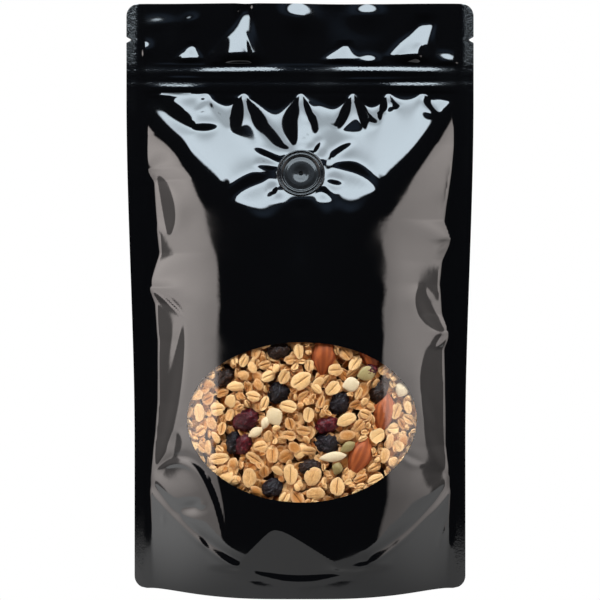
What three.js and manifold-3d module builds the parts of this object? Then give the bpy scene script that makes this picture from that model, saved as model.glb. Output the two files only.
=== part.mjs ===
// A filled stand-up pouch of black gloss film, with a clear oval window that shows
// the muesli behind it, a press-to-close zip and a round one-way valve.
// Millimetres, +Z up. The front faces -Y. The origin is the middle of the footprint,
// on the surface that the pouch stands on.

import * as THREE from "three";
import { mergeVertices } from "three/addons/utils/BufferGeometryUtils.js";
import Module from "manifold-3d";

const wasm = await Module();
wasm.setup();

// ---------------------------------------------------------------- the pouch's sizes

const HEIGHT = 286; // standing, table to top edge
const FLAT_WIDTH = 170; // across the film at the zip
const SIDE_PULL = 4; // how far each side draws in where the pouch is full
const SIDE_SEAL = 6.2; // width of the sealed band down each side
const SEAL_THICKNESS = 0.8;
const CORNER_RADIUS = 6;

const BELLY_HEIGHT = 84; // up to here the pouch widens a little from the table
const BELLY_HALF_DEPTH = 26;
const FOOT_HALF_DEPTH = 23; // at the table
const SHOULDER_SLOPE = 0.395; // of the flat panel that runs down from the zip
const SHOULDER_BLEND = 4; // how softly that panel meets the belly

const ZIP_BOTTOM = 243;
const ZIP_TOP = 256;
const ZIP_HALF_DEPTH = 0.8; // of the flat between its welds and rib
const ZIP_RIB = 250.4; // heights of the press-together rib and the welds on each side
const ZIP_UPPER_BAND = 253.5;
const ZIP_LOWER_BAND = 246.3;
const HEADER_HALF_DEPTH = 0.7; // the two films above the zip, lying together
const HEADER_WAVE = 1.3; // how far the header bows to and fro

const NOTCH_HEIGHT = 268.4; // the tear notches
const NOTCH_RADIUS = 1.3;

const SEAM_LOW = 8.5; // the curved bottom seam, at the middle
const SEAM_HIGH = 55; // and at the side seals
const SEAM_HALF_WIDTH = 80;
const GUSSET_SAG = 4; // how far the floor would hang below the table if nothing held it
const SKIRT_THICKNESS = 1;

const WINDOW_CENTRE = new THREE.Vector2(1, 83.6);
const WINDOW_HALF_WIDTH = 54;
const WINDOW_HALF_HEIGHT = 37.6;
const WINDOW_FILM = 0.5; // thickness
const WINDOW_POCKET = 9.5; // depth of the space that the muesli shows in
const FIT_GAP = 0.3; // between neighbouring pieces

const VALVE_HEIGHT = 201.3;
const VALVE_RADIUS = 11.5;
const VALVE_THICKNESS = 1.8;
const VALVE_PROUD = 0.5; // how far its rim stands out of the film
const VALVE_SIDES = 32;

// ---------------------------------------------------------------- the film's surface

const smooth = (x) => THREE.MathUtils.smoothstep(x, 0, 1);

// Half the width of the whole pouch, seals included.
function outlineHalfWidth(z) {
  const pulled = FLAT_WIDTH / 2 - SIDE_PULL * smooth((240 - z) / 170);
  const toEnd = Math.min(z, HEIGHT - z);
  if (toEnd >= CORNER_RADIUS) return pulled;
  const rise = CORNER_RADIUS - Math.max(toEnd, 0);
  return pulled - CORNER_RADIUS + Math.sqrt(CORNER_RADIUS ** 2 - rise ** 2);
}

// Half the width between the side seals.
function bagHalfWidth(z) {
  return FLAT_WIDTH / 2 - SIDE_PULL * smooth((240 - z) / 170) - SIDE_SEAL;
}

// The smaller of two values, rounded where they cross.
const softMin = (a, b, blend) => (a + b - Math.hypot(a - b, blend)) / 2;

// Half the depth of the full bag, from the table to the bottom of the zip. The belly
// closes towards the side seals, and a flat panel closes it towards the zip.
function bagHalfDepth(x, z) {
  const across = Math.min(Math.abs(x) / bagHalfWidth(z), 1);
  const foot = 1 - smooth(z / 60);
  const down = Math.max(BELLY_HEIGHT - z, 0) / BELLY_HEIGHT;
  const belly = BELLY_HALF_DEPTH - (BELLY_HALF_DEPTH - FOOT_HALF_DEPTH) * down ** 2;
  const side = belly * (1 - across ** (2.4 + 1.2 * foot)) ** (0.86 + 1.14 * foot);
  const shoulder = ZIP_HALF_DEPTH + SHOULDER_SLOPE * (ZIP_BOTTOM - z);
  return Math.max(softMin(shoulder, side, SHOULDER_BLEND), SEAL_THICKNESS / 2);
}

// The zip's welded bands and its press-together rib, as relief on both films.
function zipRelief(z) {
  const rib = Math.exp(-(((z - ZIP_RIB) / 1.3) ** 2));
  const upperBand = Math.exp(-(((z - ZIP_UPPER_BAND) / 1.5) ** 2));
  const lowerBand = Math.exp(-(((z - ZIP_LOWER_BAND) / 1.5) ** 2));
  return 0.9 * rib + 0.5 * upperBand + 0.5 * lowerBand;
}

// Half the thickness at (x, z).
function halfDepth(x, z) {
  if (z < ZIP_BOTTOM) return bagHalfDepth(x, z);
  const across = Math.min(Math.abs(x) / bagHalfWidth(z), 1);
  const header = smooth((z - ZIP_TOP + 2) / 4);
  const zip = ZIP_HALF_DEPTH + zipRelief(z);
  const body = THREE.MathUtils.lerp(zip, HEADER_HALF_DEPTH, header);
  return THREE.MathUtils.lerp(SEAL_THICKNESS / 2, body, smooth((1 - across) / 0.06));
}

// Where the middle of the two films lies: 0 except in the header, which waves.
function midSurface(x, z) {
  const rise = smooth((z - ZIP_TOP) / (HEIGHT - ZIP_TOP));
  const inside = 1 - (x / (FLAT_WIDTH / 2)) ** 2;
  return HEADER_WAVE * rise * inside * Math.sin((x / FLAT_WIDTH) * 3 * Math.PI);
}

const front = (x, z) => midSurface(x, z) - halfDepth(x, z);
const back = (x, z) => midSurface(x, z) + halfDepth(x, z);

// ---------------------------------------------------------------- solids from sections

// A closed mesh through equal sections. Point i of a section faces point n-1-i across
// it, which is how the two end caps are filled.
function loft(sections) {
  const n = sections[0].length;
  const positions = sections.flat().flatMap((p) => [p.x, p.y, p.z]);
  const faces = [];
  for (let s = 0; s + 1 < sections.length; s++) {
    for (let i = 0; i < n; i++) {
      const j = (i + 1) % n;
      const [a, b, c, d] = [s * n + i, s * n + j, (s + 1) * n + j, (s + 1) * n + i];
      faces.push(a, b, c, a, c, d);
    }
  }
  const last = (sections.length - 1) * n;
  for (let i = 0; i + 1 < n / 2; i++) {
    const [a, b, c, d] = [i, i + 1, n - 2 - i, n - 1 - i];
    faces.push(a, c, b, a, d, c);
    faces.push(last + a, last + b, last + c, last + a, last + c, last + d);
  }
  const made = new THREE.BufferGeometry();
  made.setAttribute("position", new THREE.Float32BufferAttribute(positions, 3));
  made.setIndex(faces);
  return made;
}

function toSolid(geometry) {
  const bare = geometry.clone();
  for (const name of Object.keys(bare.attributes)) {
    if (name !== "position") bare.deleteAttribute(name);
  }
  const merged = mergeVertices(bare, 1e-4);
  const solid = new wasm.Manifold(
    new wasm.Mesh({
      numProp: 3,
      vertProperties: merged.attributes.position.array,
      triVerts: new Uint32Array(merged.index.array),
    }),
  );
  return solid;
}

function toGeometry(solid) {
  const mesh = solid.getMesh();
  const made = new THREE.BufferGeometry();
  made.setAttribute("position", new THREE.BufferAttribute(mesh.vertProperties, 3));
  made.setIndex(new THREE.BufferAttribute(mesh.triVerts, 1));
  const flat = made.toNonIndexed();
  flat.computeVertexNormals();
  return flat;
}

const spaced = (from, to, count) =>
  Array.from({ length: count + 1 }, (_, i) => from + ((to - from) * i) / count);

// ---------------------------------------------------------------- the filled bag

const HEIGHTS = [
  0, 0.5, 2, CORNER_RADIUS,
  ...spaced(16, 184, 12),
  ...spaced(195, 239, 5),
  ZIP_BOTTOM, ZIP_LOWER_BAND, 248.4, ZIP_RIB, 252, ZIP_UPPER_BAND, ZIP_TOP, 258.5,
  270, HEIGHT - CORNER_RADIUS, HEIGHT - 2, HEIGHT - 0.5, HEIGHT,
];
const ACROSS = [0.97, 0.92, 0.84, 0.73, 0.61, 0.49, 0.37, 0.25, 0.125];

function bagSection(z) {
  const inner = bagHalfWidth(z);
  const half = [outlineHalfWidth(z), inner, ...ACROSS.map((share) => share * inner)];
  const xs = [...half.map((x) => -x), 0, ...half.toReversed()];
  const frontRow = xs.map((x) => new THREE.Vector3(x, front(x, z), z));
  const backRow = xs.toReversed().map((x) => new THREE.Vector3(x, back(x, z), z));
  return [...frontRow, ...backRow];
}

const seamHeight = (x) =>
  SEAM_LOW + (SEAM_HIGH - SEAM_LOW) * (x / SEAM_HALF_WIDTH) ** 2;

// The gusset's height above the table. It hangs from the seams and rests on the table
// in the middle, where this is negative.
function gussetHeight(x, y, halfSpan) {
  const middle = -GUSSET_SAG + (SEAM_HIGH + GUSSET_SAG) * (x / SEAM_HALF_WIDTH) ** 2;
  return middle + (seamHeight(x) - middle) * (y / halfSpan) ** 2;
}

// The space under the gusset, between the front and back skirts.
function underGusset() {
  const below = -2;
  const least = -1;
  const reach = 66;
  const section = (x) => {
    const top = seamHeight(x);
    const wall = spaced(0, 1, 4).map((share) => {
      const z = top * share;
      return new THREE.Vector3(x, SKIRT_THICKNESS - halfDepth(x, z), z);
    });
    wall.unshift(new THREE.Vector3(x, wall[0].y, below));
    const span = -wall.at(-1).y;
    const floor = spaced(-0.8, 0, 4).map((share) => {
      const y = share * span;
      return new THREE.Vector3(x, y, Math.max(gussetHeight(x, y, span), least));
    });
    const frontHalf = [...wall, ...floor.slice(0, -1)];
    const mirrored = frontHalf.toReversed().map((p) => new THREE.Vector3(x, -p.y, p.z));
    return [...frontHalf, ...mirrored];
  };
  return loft(spaced(reach, -reach, 20).map(section));
}

// ---------------------------------------------------------------- the window

// An oval sheet that follows the front film, between two depths behind its surface.
function windowSlab(inset, outer, inner) {
  const rings = 4;
  const spokes = 36;
  const a = WINDOW_HALF_WIDTH - inset;
  const b = WINDOW_HALF_HEIGHT - inset;
  const positions = [];
  const faces = [];
  const point = (share, angle, depth) => {
    const x = WINDOW_CENTRE.x + a * share * Math.cos(angle);
    const z = WINDOW_CENTRE.y + b * share * Math.sin(angle);
    positions.push(x, front(x, z) + depth, z);
  };
  const perSide = 1 + rings * spokes;
  for (const depth of [outer, inner]) {
    point(0, 0, depth);
    for (let r = 1; r <= rings; r++) {
      for (let s = 0; s < spokes; s++) point(r / rings, (s / spokes) * 2 * Math.PI, depth);
    }
  }
  const ring = (side, r, s) => side * perSide + 1 + (r - 1) * spokes + (s % spokes);
  for (let s = 0; s < spokes; s++) {
    faces.push(0, ring(0, 1, s), ring(0, 1, s + 1));
    faces.push(perSide, ring(1, 1, s + 1), ring(1, 1, s));
    for (let r = 1; r < rings; r++) {
      const [a0, b0] = [ring(0, r, s), ring(0, r, s + 1)];
      const [c0, d0] = [ring(0, r + 1, s + 1), ring(0, r + 1, s)];
      faces.push(a0, c0, b0, a0, d0, c0);
      const [a1, b1] = [ring(1, r, s), ring(1, r, s + 1)];
      const [c1, d1] = [ring(1, r + 1, s + 1), ring(1, r + 1, s)];
      faces.push(a1, b1, c1, a1, c1, d1);
    }
    const [o0, o1] = [ring(0, rings, s), ring(0, rings, s + 1)];
    const [i0, i1] = [ring(1, rings, s), ring(1, rings, s + 1)];
    faces.push(o0, i0, i1, o0, i1, o1);
  }
  const made = new THREE.BufferGeometry();
  made.setAttribute("position", new THREE.Float32BufferAttribute(positions, 3));
  made.setIndex(faces);
  return made;
}

// ---------------------------------------------------------------- the muesli

// Seeded random numbers from 0 to 1.
function randomFrom(seed) {
  let state = seed;
  return () => {
    state = (state * 1664525 + 1013904223) % 4294967296;
    return state / 4294967296;
  };
}

// Each kind's half length, half width and half thickness, and the sides it is cut with.
const OAT = { size: [4.7, 3.3, 0.9], sides: 6, rings: 3 };
const ALMOND = { size: [10.5, 5.6, 3.6], sides: 8, rings: 5 };
const BERRY = { size: [6.6, 5.6, 4.4], sides: 8, rings: 5 };
const SEED = { size: [5.4, 2.8, 1.4], sides: 6, rings: 4 };

// The large pieces, by place in the window and by turn in degrees: [x, z, turn].
const ALMONDS = [[11, 34, 88], [40, 3.5, 80], [26, -18, 65]];
const BERRIES = [[-12, 13, 20], [17.5, 8.5, 60], [-26, 1.5, 20], [12, -2, 15],
  [12.5, -10, 0], [-29, -11, 80], [-14, -31, 30]];
const SEEDS = [[14, -16, 8], [21, -11, 30], [31, 20, 12], [22, 17, -10], [-23, -5, 20]];

// A lens-shaped grain lying against the front film, turned in its plane and tilted.
function grain(kind, x, z, turn, tilt, depth) {
  const [halfLength, halfWidth, halfThickness] = kind.size;
  const made = new THREE.SphereGeometry(1, kind.sides, kind.rings);
  made.scale(halfWidth, halfLength, halfThickness);
  made.rotateX(Math.PI / 2);
  made.rotateY(Math.PI / 2 - turn);
  made.rotateX(tilt[0]);
  made.rotateZ(tilt[1] + Math.atan(slopeAcross(x, z)));
  made.translate(x, front(x, z) + depth, z);
  return made;
}

function slopeAcross(x, z) {
  return (front(x + 1, z) - front(x - 1, z)) / 2;
}

function insideWindow(x, z, margin) {
  const u = (x - WINDOW_CENTRE.x) / (WINDOW_HALF_WIDTH - margin);
  const v = (z - WINDOW_CENTRE.y) / (WINDOW_HALF_HEIGHT - margin);
  return u * u + v * v < 1;
}

function muesli() {
  const behindFilm = WINDOW_FILM + FIT_GAP;
  const coreFront = behindFilm + 2.6;
  const coreBack = WINDOW_POCKET - FIT_GAP;
  const core = toSolid(windowSlab(FIT_GAP, coreFront, coreBack));
  const allowed = toSolid(windowSlab(FIT_GAP, behindFilm, coreBack));
  const random = randomFrom(7);
  const grains = [];
  const placed = [];
  for (const [list, kind] of [[ALMONDS, ALMOND], [BERRIES, BERRY], [SEEDS, SEED]]) {
    for (const [dx, dz, turn] of list) {
      const x = WINDOW_CENTRE.x + dx;
      const z = WINDOW_CENTRE.y + dz;
      const depth = behindFilm + 0.4 + kind.size[2];
      grains.push(grain(kind, x, z, THREE.MathUtils.degToRad(turn), [0, 0], depth));
      placed.push({ x, z, clear: kind.size[1] + 1 });
    }
  }
  const pitch = 9.2;
  for (let row = -6; row <= 6; row++) {
    for (let column = -8; column <= 8; column++) {
      const stagger = row % 2 === 0 ? 0 : pitch / 2;
      const x = WINDOW_CENTRE.x + column * pitch + stagger + (random() - 0.5) * 3;
      const z = WINDOW_CENTRE.y + row * pitch * 0.87 + (random() - 0.5) * 3;
      const turn = random() * Math.PI;
      const tilt = [(random() - 0.5) * 0.8, (random() - 0.5) * 0.8];
      const near = placed.some((p) => Math.hypot(p.x - x, p.z - z) < p.clear);
      if (near || !insideWindow(x, z, 2.5)) continue;
      grains.push(grain(OAT, x, z, turn, tilt, coreFront - 0.7));
    }
  }
  const heap = grains.reduce((sum, g) => sum.add(toSolid(g)), core);
  return heap.intersect(allowed);
}

// ---------------------------------------------------------------- the valve

// Turned about its own axis, +Y. Its rim stands highest, its face is dished, and the
// vent is a pit in the middle.
function valveProfile() {
  const r = VALVE_RADIUS;
  const t = VALVE_THICKNESS;
  return [
    [0, 0], [r, 0], [r, t - 0.4], [r - 0.3, t], [r - 0.9, t], [r - 1.2, t - 0.5],
    [r - 1.5, t - 0.5], [r - 1.8, t - 0.1], [r - 2.3, t - 0.1], [r - 2.9, t - 0.7],
    [4.6, t - 0.9], [2.2, t - 0.5], [1.5, t - 0.6], [1.0, t - 1.3], [0, t - 1.3],
  ].map(([x, y]) => new THREE.Vector2(x, y));
}

function valveTilt() {
  const slope = (front(0, VALVE_HEIGHT + 8) - front(0, VALVE_HEIGHT - 8)) / 16;
  return Math.atan(slope);
}

// Puts a shape made along +Y on the valve's seat, facing out of the film.
function seatOnFilm(object, depth) {
  const tilt = valveTilt();
  object.rotation.x = Math.PI - tilt;
  const inward = new THREE.Vector3(0, Math.cos(tilt), -Math.sin(tilt));
  object.position.set(0, front(0, VALVE_HEIGHT), VALVE_HEIGHT);
  object.position.addScaledVector(inward, depth);
  object.updateMatrix();
  return object;
}

// ---------------------------------------------------------------- the four pieces

function pouch() {
  const windowCut = windowSlab(0, -3, WINDOW_POCKET);
  const seat = new THREE.CylinderGeometry(
    VALVE_RADIUS + FIT_GAP, VALVE_RADIUS + FIT_GAP, 8, VALVE_SIDES,
  );
  const seatDepth = VALVE_THICKNESS - VALVE_PROUD + FIT_GAP;
  seat.translate(0, 4, 0);
  seat.applyMatrix4(seatOnFilm(new THREE.Object3D(), seatDepth).matrix);
  let solid = toSolid(loft(HEIGHTS.map(bagSection)));
  solid = solid.subtract(toSolid(underGusset()));
  solid = solid.subtract(toSolid(windowCut));
  solid = solid.subtract(toSolid(seat));
  for (const side of [-1, 1]) {
    const notch = new THREE.CylinderGeometry(NOTCH_RADIUS, NOTCH_RADIUS, 8, 12);
    notch.scale(1.8, 1, 1);
    notch.translate(side * outlineHalfWidth(NOTCH_HEIGHT), 0, NOTCH_HEIGHT);
    solid = solid.subtract(toSolid(notch));
  }
  return solid;
}

function finish(name, geometry, settings) {
  const mesh = new THREE.Mesh(geometry, new THREE.MeshStandardMaterial(settings));
  mesh.name = name;
  return mesh;
}

const blackFilm = { color: 0x0b0b0c, roughness: 0.12, metalness: 0 };
const clearFilm = {
  color: 0xe8ebee, roughness: 0.08, metalness: 0, transparent: true, opacity: 0.2,
};
const toastedOats = { color: 0xc99a5b, roughness: 0.75, metalness: 0 };
const valvePlastic = { color: 0x1a1a1d, roughness: 0.35, metalness: 0 };

const group = new THREE.Group();
group.add(finish("pouch", toGeometry(pouch()), blackFilm));
group.add(finish("muesli", toGeometry(muesli()), toastedOats));

const film = windowSlab(FIT_GAP, 0, WINDOW_FILM);
film.computeVertexNormals();
group.add(finish("window_film", film, clearFilm));

const valve = finish("valve", new THREE.LatheGeometry(valveProfile(), VALVE_SIDES), valvePlastic);
group.add(seatOnFilm(valve, VALVE_THICKNESS - VALVE_PROUD));

export default group;
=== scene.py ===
# %% [markdown]
# # A filled stand-up pouch with a window
#
# This lesson dresses a stand-up pouch: black gloss film, a press-to-close zip, a round
# one-way valve, and a clear oval window with muesli behind it.
#
# Gloss black film has almost no colour of its own. What we see is the room in it, so
# the shape of every fold and the place of every lamp count more than the paint. The
# film is therefore worked out as a smooth surface with folds added one by one, and the
# studio is built as the soft lamps that such a surface mirrors.

# %% Tools, and the frame of the finished model
import math
import random

import bmesh
import bpy
import numpy as np
from mathutils import Matrix, Vector, noise


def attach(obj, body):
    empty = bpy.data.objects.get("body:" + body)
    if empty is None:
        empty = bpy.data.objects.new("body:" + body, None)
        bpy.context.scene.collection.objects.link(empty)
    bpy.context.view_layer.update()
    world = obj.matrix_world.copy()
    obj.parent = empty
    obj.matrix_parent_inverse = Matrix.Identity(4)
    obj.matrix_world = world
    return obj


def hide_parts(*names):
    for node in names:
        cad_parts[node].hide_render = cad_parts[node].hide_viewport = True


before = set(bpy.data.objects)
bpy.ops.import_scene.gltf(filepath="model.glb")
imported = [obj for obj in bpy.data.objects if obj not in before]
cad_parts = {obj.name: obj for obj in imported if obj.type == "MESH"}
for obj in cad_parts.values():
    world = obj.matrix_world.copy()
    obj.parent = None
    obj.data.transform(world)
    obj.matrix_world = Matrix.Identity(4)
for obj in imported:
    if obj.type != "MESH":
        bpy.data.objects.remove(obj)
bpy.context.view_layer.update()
print("nodes in the frame:", sorted(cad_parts))

# %% [markdown]
# ## Units and the camera
#
# All measures below are millimetres unless they say otherwise, and become metres only
# where Blender takes them. The camera stands straight in front, a little under the
# middle of the pouch. From there the foot bows down, because its middle is nearer to
# the lens than its corners are.

# %% The camera
MM = 0.001
CAMERA_DISTANCE = 600.0
CAMERA_HEIGHT = 141.0
MM_PER_PIXEL = 0.49
IMAGE_SIZE = 600
SENSOR = 36.0

lens_data = bpy.data.cameras.new("camera")
lens_data.sensor_width = SENSOR
lens_data.lens = SENSOR * CAMERA_DISTANCE / (MM_PER_PIXEL * IMAGE_SIZE)
camera = bpy.data.objects.new("camera", lens_data)
camera.location = (0, -CAMERA_DISTANCE * MM, CAMERA_HEIGHT * MM)
camera.rotation_euler = (math.pi / 2, 0, 0)
bpy.context.scene.collection.objects.link(camera)
bpy.context.scene.camera = camera
print("lens", round(lens_data.lens, 1), "mm")

# %% [markdown]
# ## Shader maths that reads like maths
#
# A material is a graph of nodes. Written node by node it is hard to read, so one small
# class wraps a socket, and sums or products of such sockets add the Math nodes. A colour
# never goes through one, because a Math node would turn it grey: colours are blended
# with Mix nodes, by a value that says how much of each.

# %% A socket that can be added and multiplied
class Wire:
    """An output socket of a node tree."""

    def __init__(self, tree, socket=None):
        self.tree = tree
        self.socket = socket

    def node(self, kind, settings=None, inputs=None, output=0):
        """Add a node: its settings first, then the values or wires of its sockets."""
        made = self.tree.nodes.new("ShaderNode" + kind)
        for name, value in (settings or {}).items():
            if name == "stops":
                fill_ramp(made.color_ramp, value)
            else:
                setattr(made, name, value)
        for name, value in (inputs or {}).items():
            self.plug(value, made.inputs[name])
        return Wire(self.tree, made.outputs[output])

    def plug(self, value, socket):
        if isinstance(value, Wire):
            self.tree.links.new(value.socket, socket)
        elif socket.type == "RGBA":
            socket.default_value = (*value[:3], 1.0)
        else:
            socket.default_value = value

    def math(self, operation, first, second=0.0):
        return self.node("Math", {"operation": operation}, {0: first, 1: second})

    def __add__(self, other):
        return self.math("ADD", self, other)

    def __radd__(self, other):
        return self.math("ADD", other, self)

    def __sub__(self, other):
        return self.math("SUBTRACT", self, other)

    def __rsub__(self, other):
        return self.math("SUBTRACT", other, self)

    def __mul__(self, other):
        return self.math("MULTIPLY", self, other)

    def __rmul__(self, other):
        return self.math("MULTIPLY", other, self)

    def __abs__(self):
        return self.math("ABSOLUTE", self)

    def at_least(self, least):
        return self.math("MAXIMUM", self, least)

    def step(self, low, high):
        """0 below low, 1 above high, and smooth between them."""
        return self.node(
            "MapRange", {"interpolation_type": "SMOOTHSTEP"},
            {"Value": self, "From Min": low, "From Max": high},
        )

    def mix(self, first, second):
        """The first colour where this is 0, and the second where it is 1."""
        return self.node(
            "Mix", {"data_type": "RGBA"}, {"Factor": self, "A": first, "B": second}, "Result",
        )

    def ramp(self, stops):
        """A value that follows the stops, each of them a place and the value there."""
        grey = [(place, (value, value, value)) for place, value in stops]
        ramp = self.node("ValToRGB", {"stops": grey}, {"Fac": self})
        return self.node("RGBToBW", None, {0: ramp})

    def axis(self, name):
        return self.node("SeparateXYZ", None, {0: self}, name)

    def bump(self):
        """The normal of a surface with this relief, in metres."""
        return self.node(
            "Bump", None, {"Strength": 1.0, "Distance": 1.0, "Height": self}, "Normal",
        )

    def attribute(self, name):
        return self.node("Attribute", {"attribute_name": name}, output="Fac")

    def noise(self, scale, detail=2.0, roughness=0.5, where=None):
        where = where or self.node("TexCoord", output="Object")
        return self.node(
            "TexNoise", None,
            {"Vector": where, "Scale": scale, "Detail": detail, "Roughness": roughness},
        )


def fill_ramp(ramp, stops):
    while len(ramp.elements) < len(stops):
        ramp.elements.new(0.5)
    for element, (position, colour) in zip(ramp.elements, stops):
        element.position = position
        element.color = (*colour, 1.0)


# %% A finish: constants on the shader's own sockets, and wires for what varies
def finish(name, constants, varies):
    """A material with one Principled shader. varies(wire) gives its linked sockets."""
    material = bpy.data.materials.new(name)
    material.use_nodes = True
    shader = material.node_tree.nodes["Principled BSDF"]
    wire = Wire(material.node_tree)
    for socket, value in constants.items():
        wire.plug(value, shader.inputs[socket])
    for socket, value in varies(wire).items():
        wire.plug(value, shader.inputs[socket])
    return material


# %% [markdown]
# ## The studio
#
# The film mirrors a bluish soft lamp above the front, which makes the bright panel under
# the zip, and two tall warm grey ones at the sides, which make the long bands. Each side
# lamp goes over into a dim wall, which draws the dark islands in the bands, and it is
# dimmer towards the floor. A faint blue glow under the top lamp softens its lower edge.
#
# The white table reaches only a little way in front of the pouch and is brighter to the
# sides, so the film is black in the middle and grey at its foot.
#
# The camera sees a white room and a white table. Reflections see a dark room and a
# dimmer table, by way of the Light Path node.

# %% Soft lamps, by direction and radiance
LAMP_TARGET = Vector((0, 0, 140))


def soft_lamp(name, azimuth, elevation, distance, width, height, radiance, profile):
    """A rectangle of light that faces the pouch. Azimuth 0 is in front, 90 to the right."""
    turn = math.radians(azimuth)
    rise = math.radians(elevation)
    ahead = Vector((
        math.sin(turn) * math.cos(rise), -math.cos(turn) * math.cos(rise), math.sin(rise),
    ))
    area = width * height * MM * MM
    data = bpy.data.lights.new(name, "AREA")
    data.shape = "RECTANGLE"
    data.size = width * MM
    data.size_y = height * MM
    data.color = [channel / max(radiance) for channel in radiance]
    data.energy = max(radiance) * math.pi * area
    lamp = bpy.data.objects.new(name, data)
    lamp.location = (LAMP_TARGET + ahead * distance) * MM
    lamp.rotation_euler = ahead.to_track_quat("Z", "Y").to_euler()
    lamp.visible_camera = False
    bpy.context.scene.collection.objects.link(lamp)
    data.use_nodes = True
    place = Wire(data.node_tree).node("NewGeometry", output="Parametric")
    emission = data.node_tree.nodes["Emission"]
    place.plug(profile(place.axis("X"), place.axis("Y")), emission.inputs["Strength"])


# A profile gives the strength over a lamp, from where a point lies across and up it.
EDGE_SHARE = 0.07
GLOW_SHARE = 0.45
TOP_LOSS = 0.5  # the share of its light that the top lamp loses towards its far end
TOP_LOSS_FROM = 0.2
TOP_LOSS_TO = 0.85


def soft_edges(across, upward, share=EDGE_SHARE):
    sides = across.step(0, share) * (1 - across).step(0, share)
    ends = upward.step(0, share) * (1 - upward).step(0, share)
    return sides * ends


def soft_glow(across, upward):
    return soft_edges(across, upward, GLOW_SHARE)


def dim_above(across, upward):
    return soft_edges(across, upward) * (1 - TOP_LOSS * upward.step(TOP_LOSS_FROM, TOP_LOSS_TO))


# %% The lamps of this studio
# Azimuth and elevation in degrees, then distance, width and height.
TOP_LAMP = (0, 58, 1000, 980, 760)
GLOW_LAMP = (0, 31, 1000, 1000, 300)
BACK_LAMP = (180, 42, 1000, 900, 500)
BACK_SIDE_LAMPS = [("lamp_back_left", 214), ("lamp_back_right", 146)]
BACK_SIDE_SIZE = (200, 1100)
TOP_RADIANCE = (11.6, 13.5, 14.9)
GLOW_RADIANCE = (0.13, 0.2, 0.31)
SIDE_RADIANCE = (5.3, 4.85, 4.65)

SIDE_FROM = 46.0  # degrees: where a side lamp starts and ends, and its dim wall starts
SIDE_TO = 98.0
WALL_FROM = 72.0
WALL_SHARE = 0.22
WALL_EDGE = 0.012
SIDE_DISTANCE = 900.0
SIDE_HEIGHT = 1200.0
SIDE_ELEVATION = 8
SIDE_EDGE = 0.03
RIGHT_SHARE = 0.78  # the right lamp is the weaker one
SIDE_BY_HEIGHT = [(0.17, 0.42), (0.34, 0.84), (0.43, 0.86), (0.51, 1.08), (0.62, 0.8)]
SLANT_FROM = 0.43  # above this share of its height the lamp's inner edge leans outward
SLANT = 1.7
INNER_SHARE = 0.84  # its strength at the inner edge, and what it gains further out
INNER_GAIN = 0.3
INNER_GAIN_FROM = 0.05
INNER_GAIN_TO = 0.45


def side_profile(inward):
    """The strength across a side lamp: full, and then the dim wall."""
    wall_from = (WALL_FROM - SIDE_FROM) / (SIDE_TO - SIDE_FROM)

    def profile(across, upward):
        along = across if inward == "left" else 1 - across
        wall = along.step(wall_from - WALL_EDGE, wall_from + WALL_EDGE)
        level = upward.ramp(SIDE_BY_HEIGHT)
        slanted = along - ((upward - SLANT_FROM) * SLANT).at_least(0.0)
        gain = INNER_SHARE + INNER_GAIN * along.step(INNER_GAIN_FROM, INNER_GAIN_TO)
        inner = slanted.step(0, EDGE_SHARE) * gain
        both = inner * (1 - (1 - WALL_SHARE) * wall)
        return soft_edges(along, upward, SIDE_EDGE) * both * level

    return profile


soft_lamp("lamp_top", *TOP_LAMP, TOP_RADIANCE, dim_above)
soft_lamp("lamp_glow", *GLOW_LAMP, GLOW_RADIANCE, soft_glow)
half_span = math.radians((SIDE_TO - SIDE_FROM) / 2)
side_width = 2 * SIDE_DISTANCE * math.tan(half_span)
side_middle = (SIDE_FROM + SIDE_TO) / 2
for name, side, inward, share in (
        ("lamp_right", 1, "left", RIGHT_SHARE), ("lamp_left", -1, "right", 1.0)):
    soft_lamp(
        name, side * side_middle, SIDE_ELEVATION, SIDE_DISTANCE, side_width, SIDE_HEIGHT,
        [share * channel for channel in SIDE_RADIANCE], side_profile(inward),
    )
soft_lamp("lamp_back", *BACK_LAMP, TOP_RADIANCE, soft_edges)
for name, azimuth in BACK_SIDE_LAMPS:
    soft_lamp(name, azimuth, SIDE_ELEVATION, SIDE_DISTANCE, *BACK_SIDE_SIZE,
              SIDE_RADIANCE, soft_edges)

# %% The room, and the white table
TABLE_WIDTH = 900.0
TABLE_REACH = 100.0  # in front of the pouch, and behind it
TABLE_RADIANCE = 0.8  # as the film mirrors it
TABLE_SIDE_GAIN = 1.8
TABLE_SIDE_FROM = 40.0
TABLE_SIDE_TO = 170.0
TABLE_RIGHT_LOSS = 0.4
TABLE_RIGHT_FROM = -60.0
TABLE_RIGHT_TO = 160.0
DARK_ROOM = (0.004, 0.004, 0.005)
WHITE = (1, 1, 1)

world = bpy.data.worlds.new("room")
bpy.context.scene.world = world
world.use_nodes = True
room = Wire(world.node_tree)
seen = room.node("LightPath", output="Is Camera Ray")
background = world.node_tree.nodes["Background"]
room.plug(seen.mix(DARK_ROOM, WHITE), background.inputs["Color"])

bpy.context.scene.view_settings.view_transform = "Standard"


def table_finish():
    material = bpy.data.materials.new("white_table")
    material.use_nodes = True
    tree = material.node_tree
    tree.nodes.clear()
    wire = Wire(tree)
    x = wire.node("TexCoord", output="Object").axis("X")
    aside = abs(x).step(TABLE_SIDE_FROM * MM, TABLE_SIDE_TO * MM)
    to_right = x.step(TABLE_RIGHT_FROM * MM, TABLE_RIGHT_TO * MM)
    across = (1 + TABLE_SIDE_GAIN * aside) * (1 - TABLE_RIGHT_LOSS * to_right)
    seen = wire.node("LightPath", output="Is Camera Ray")
    strength = seen + (1 - seen) * (TABLE_RADIANCE * across)
    glow = wire.node("Emission", None, {"Color": WHITE, "Strength": strength})
    output = tree.nodes.new("ShaderNodeOutputMaterial")
    wire.plug(glow, output.inputs["Surface"])
    return material


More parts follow.
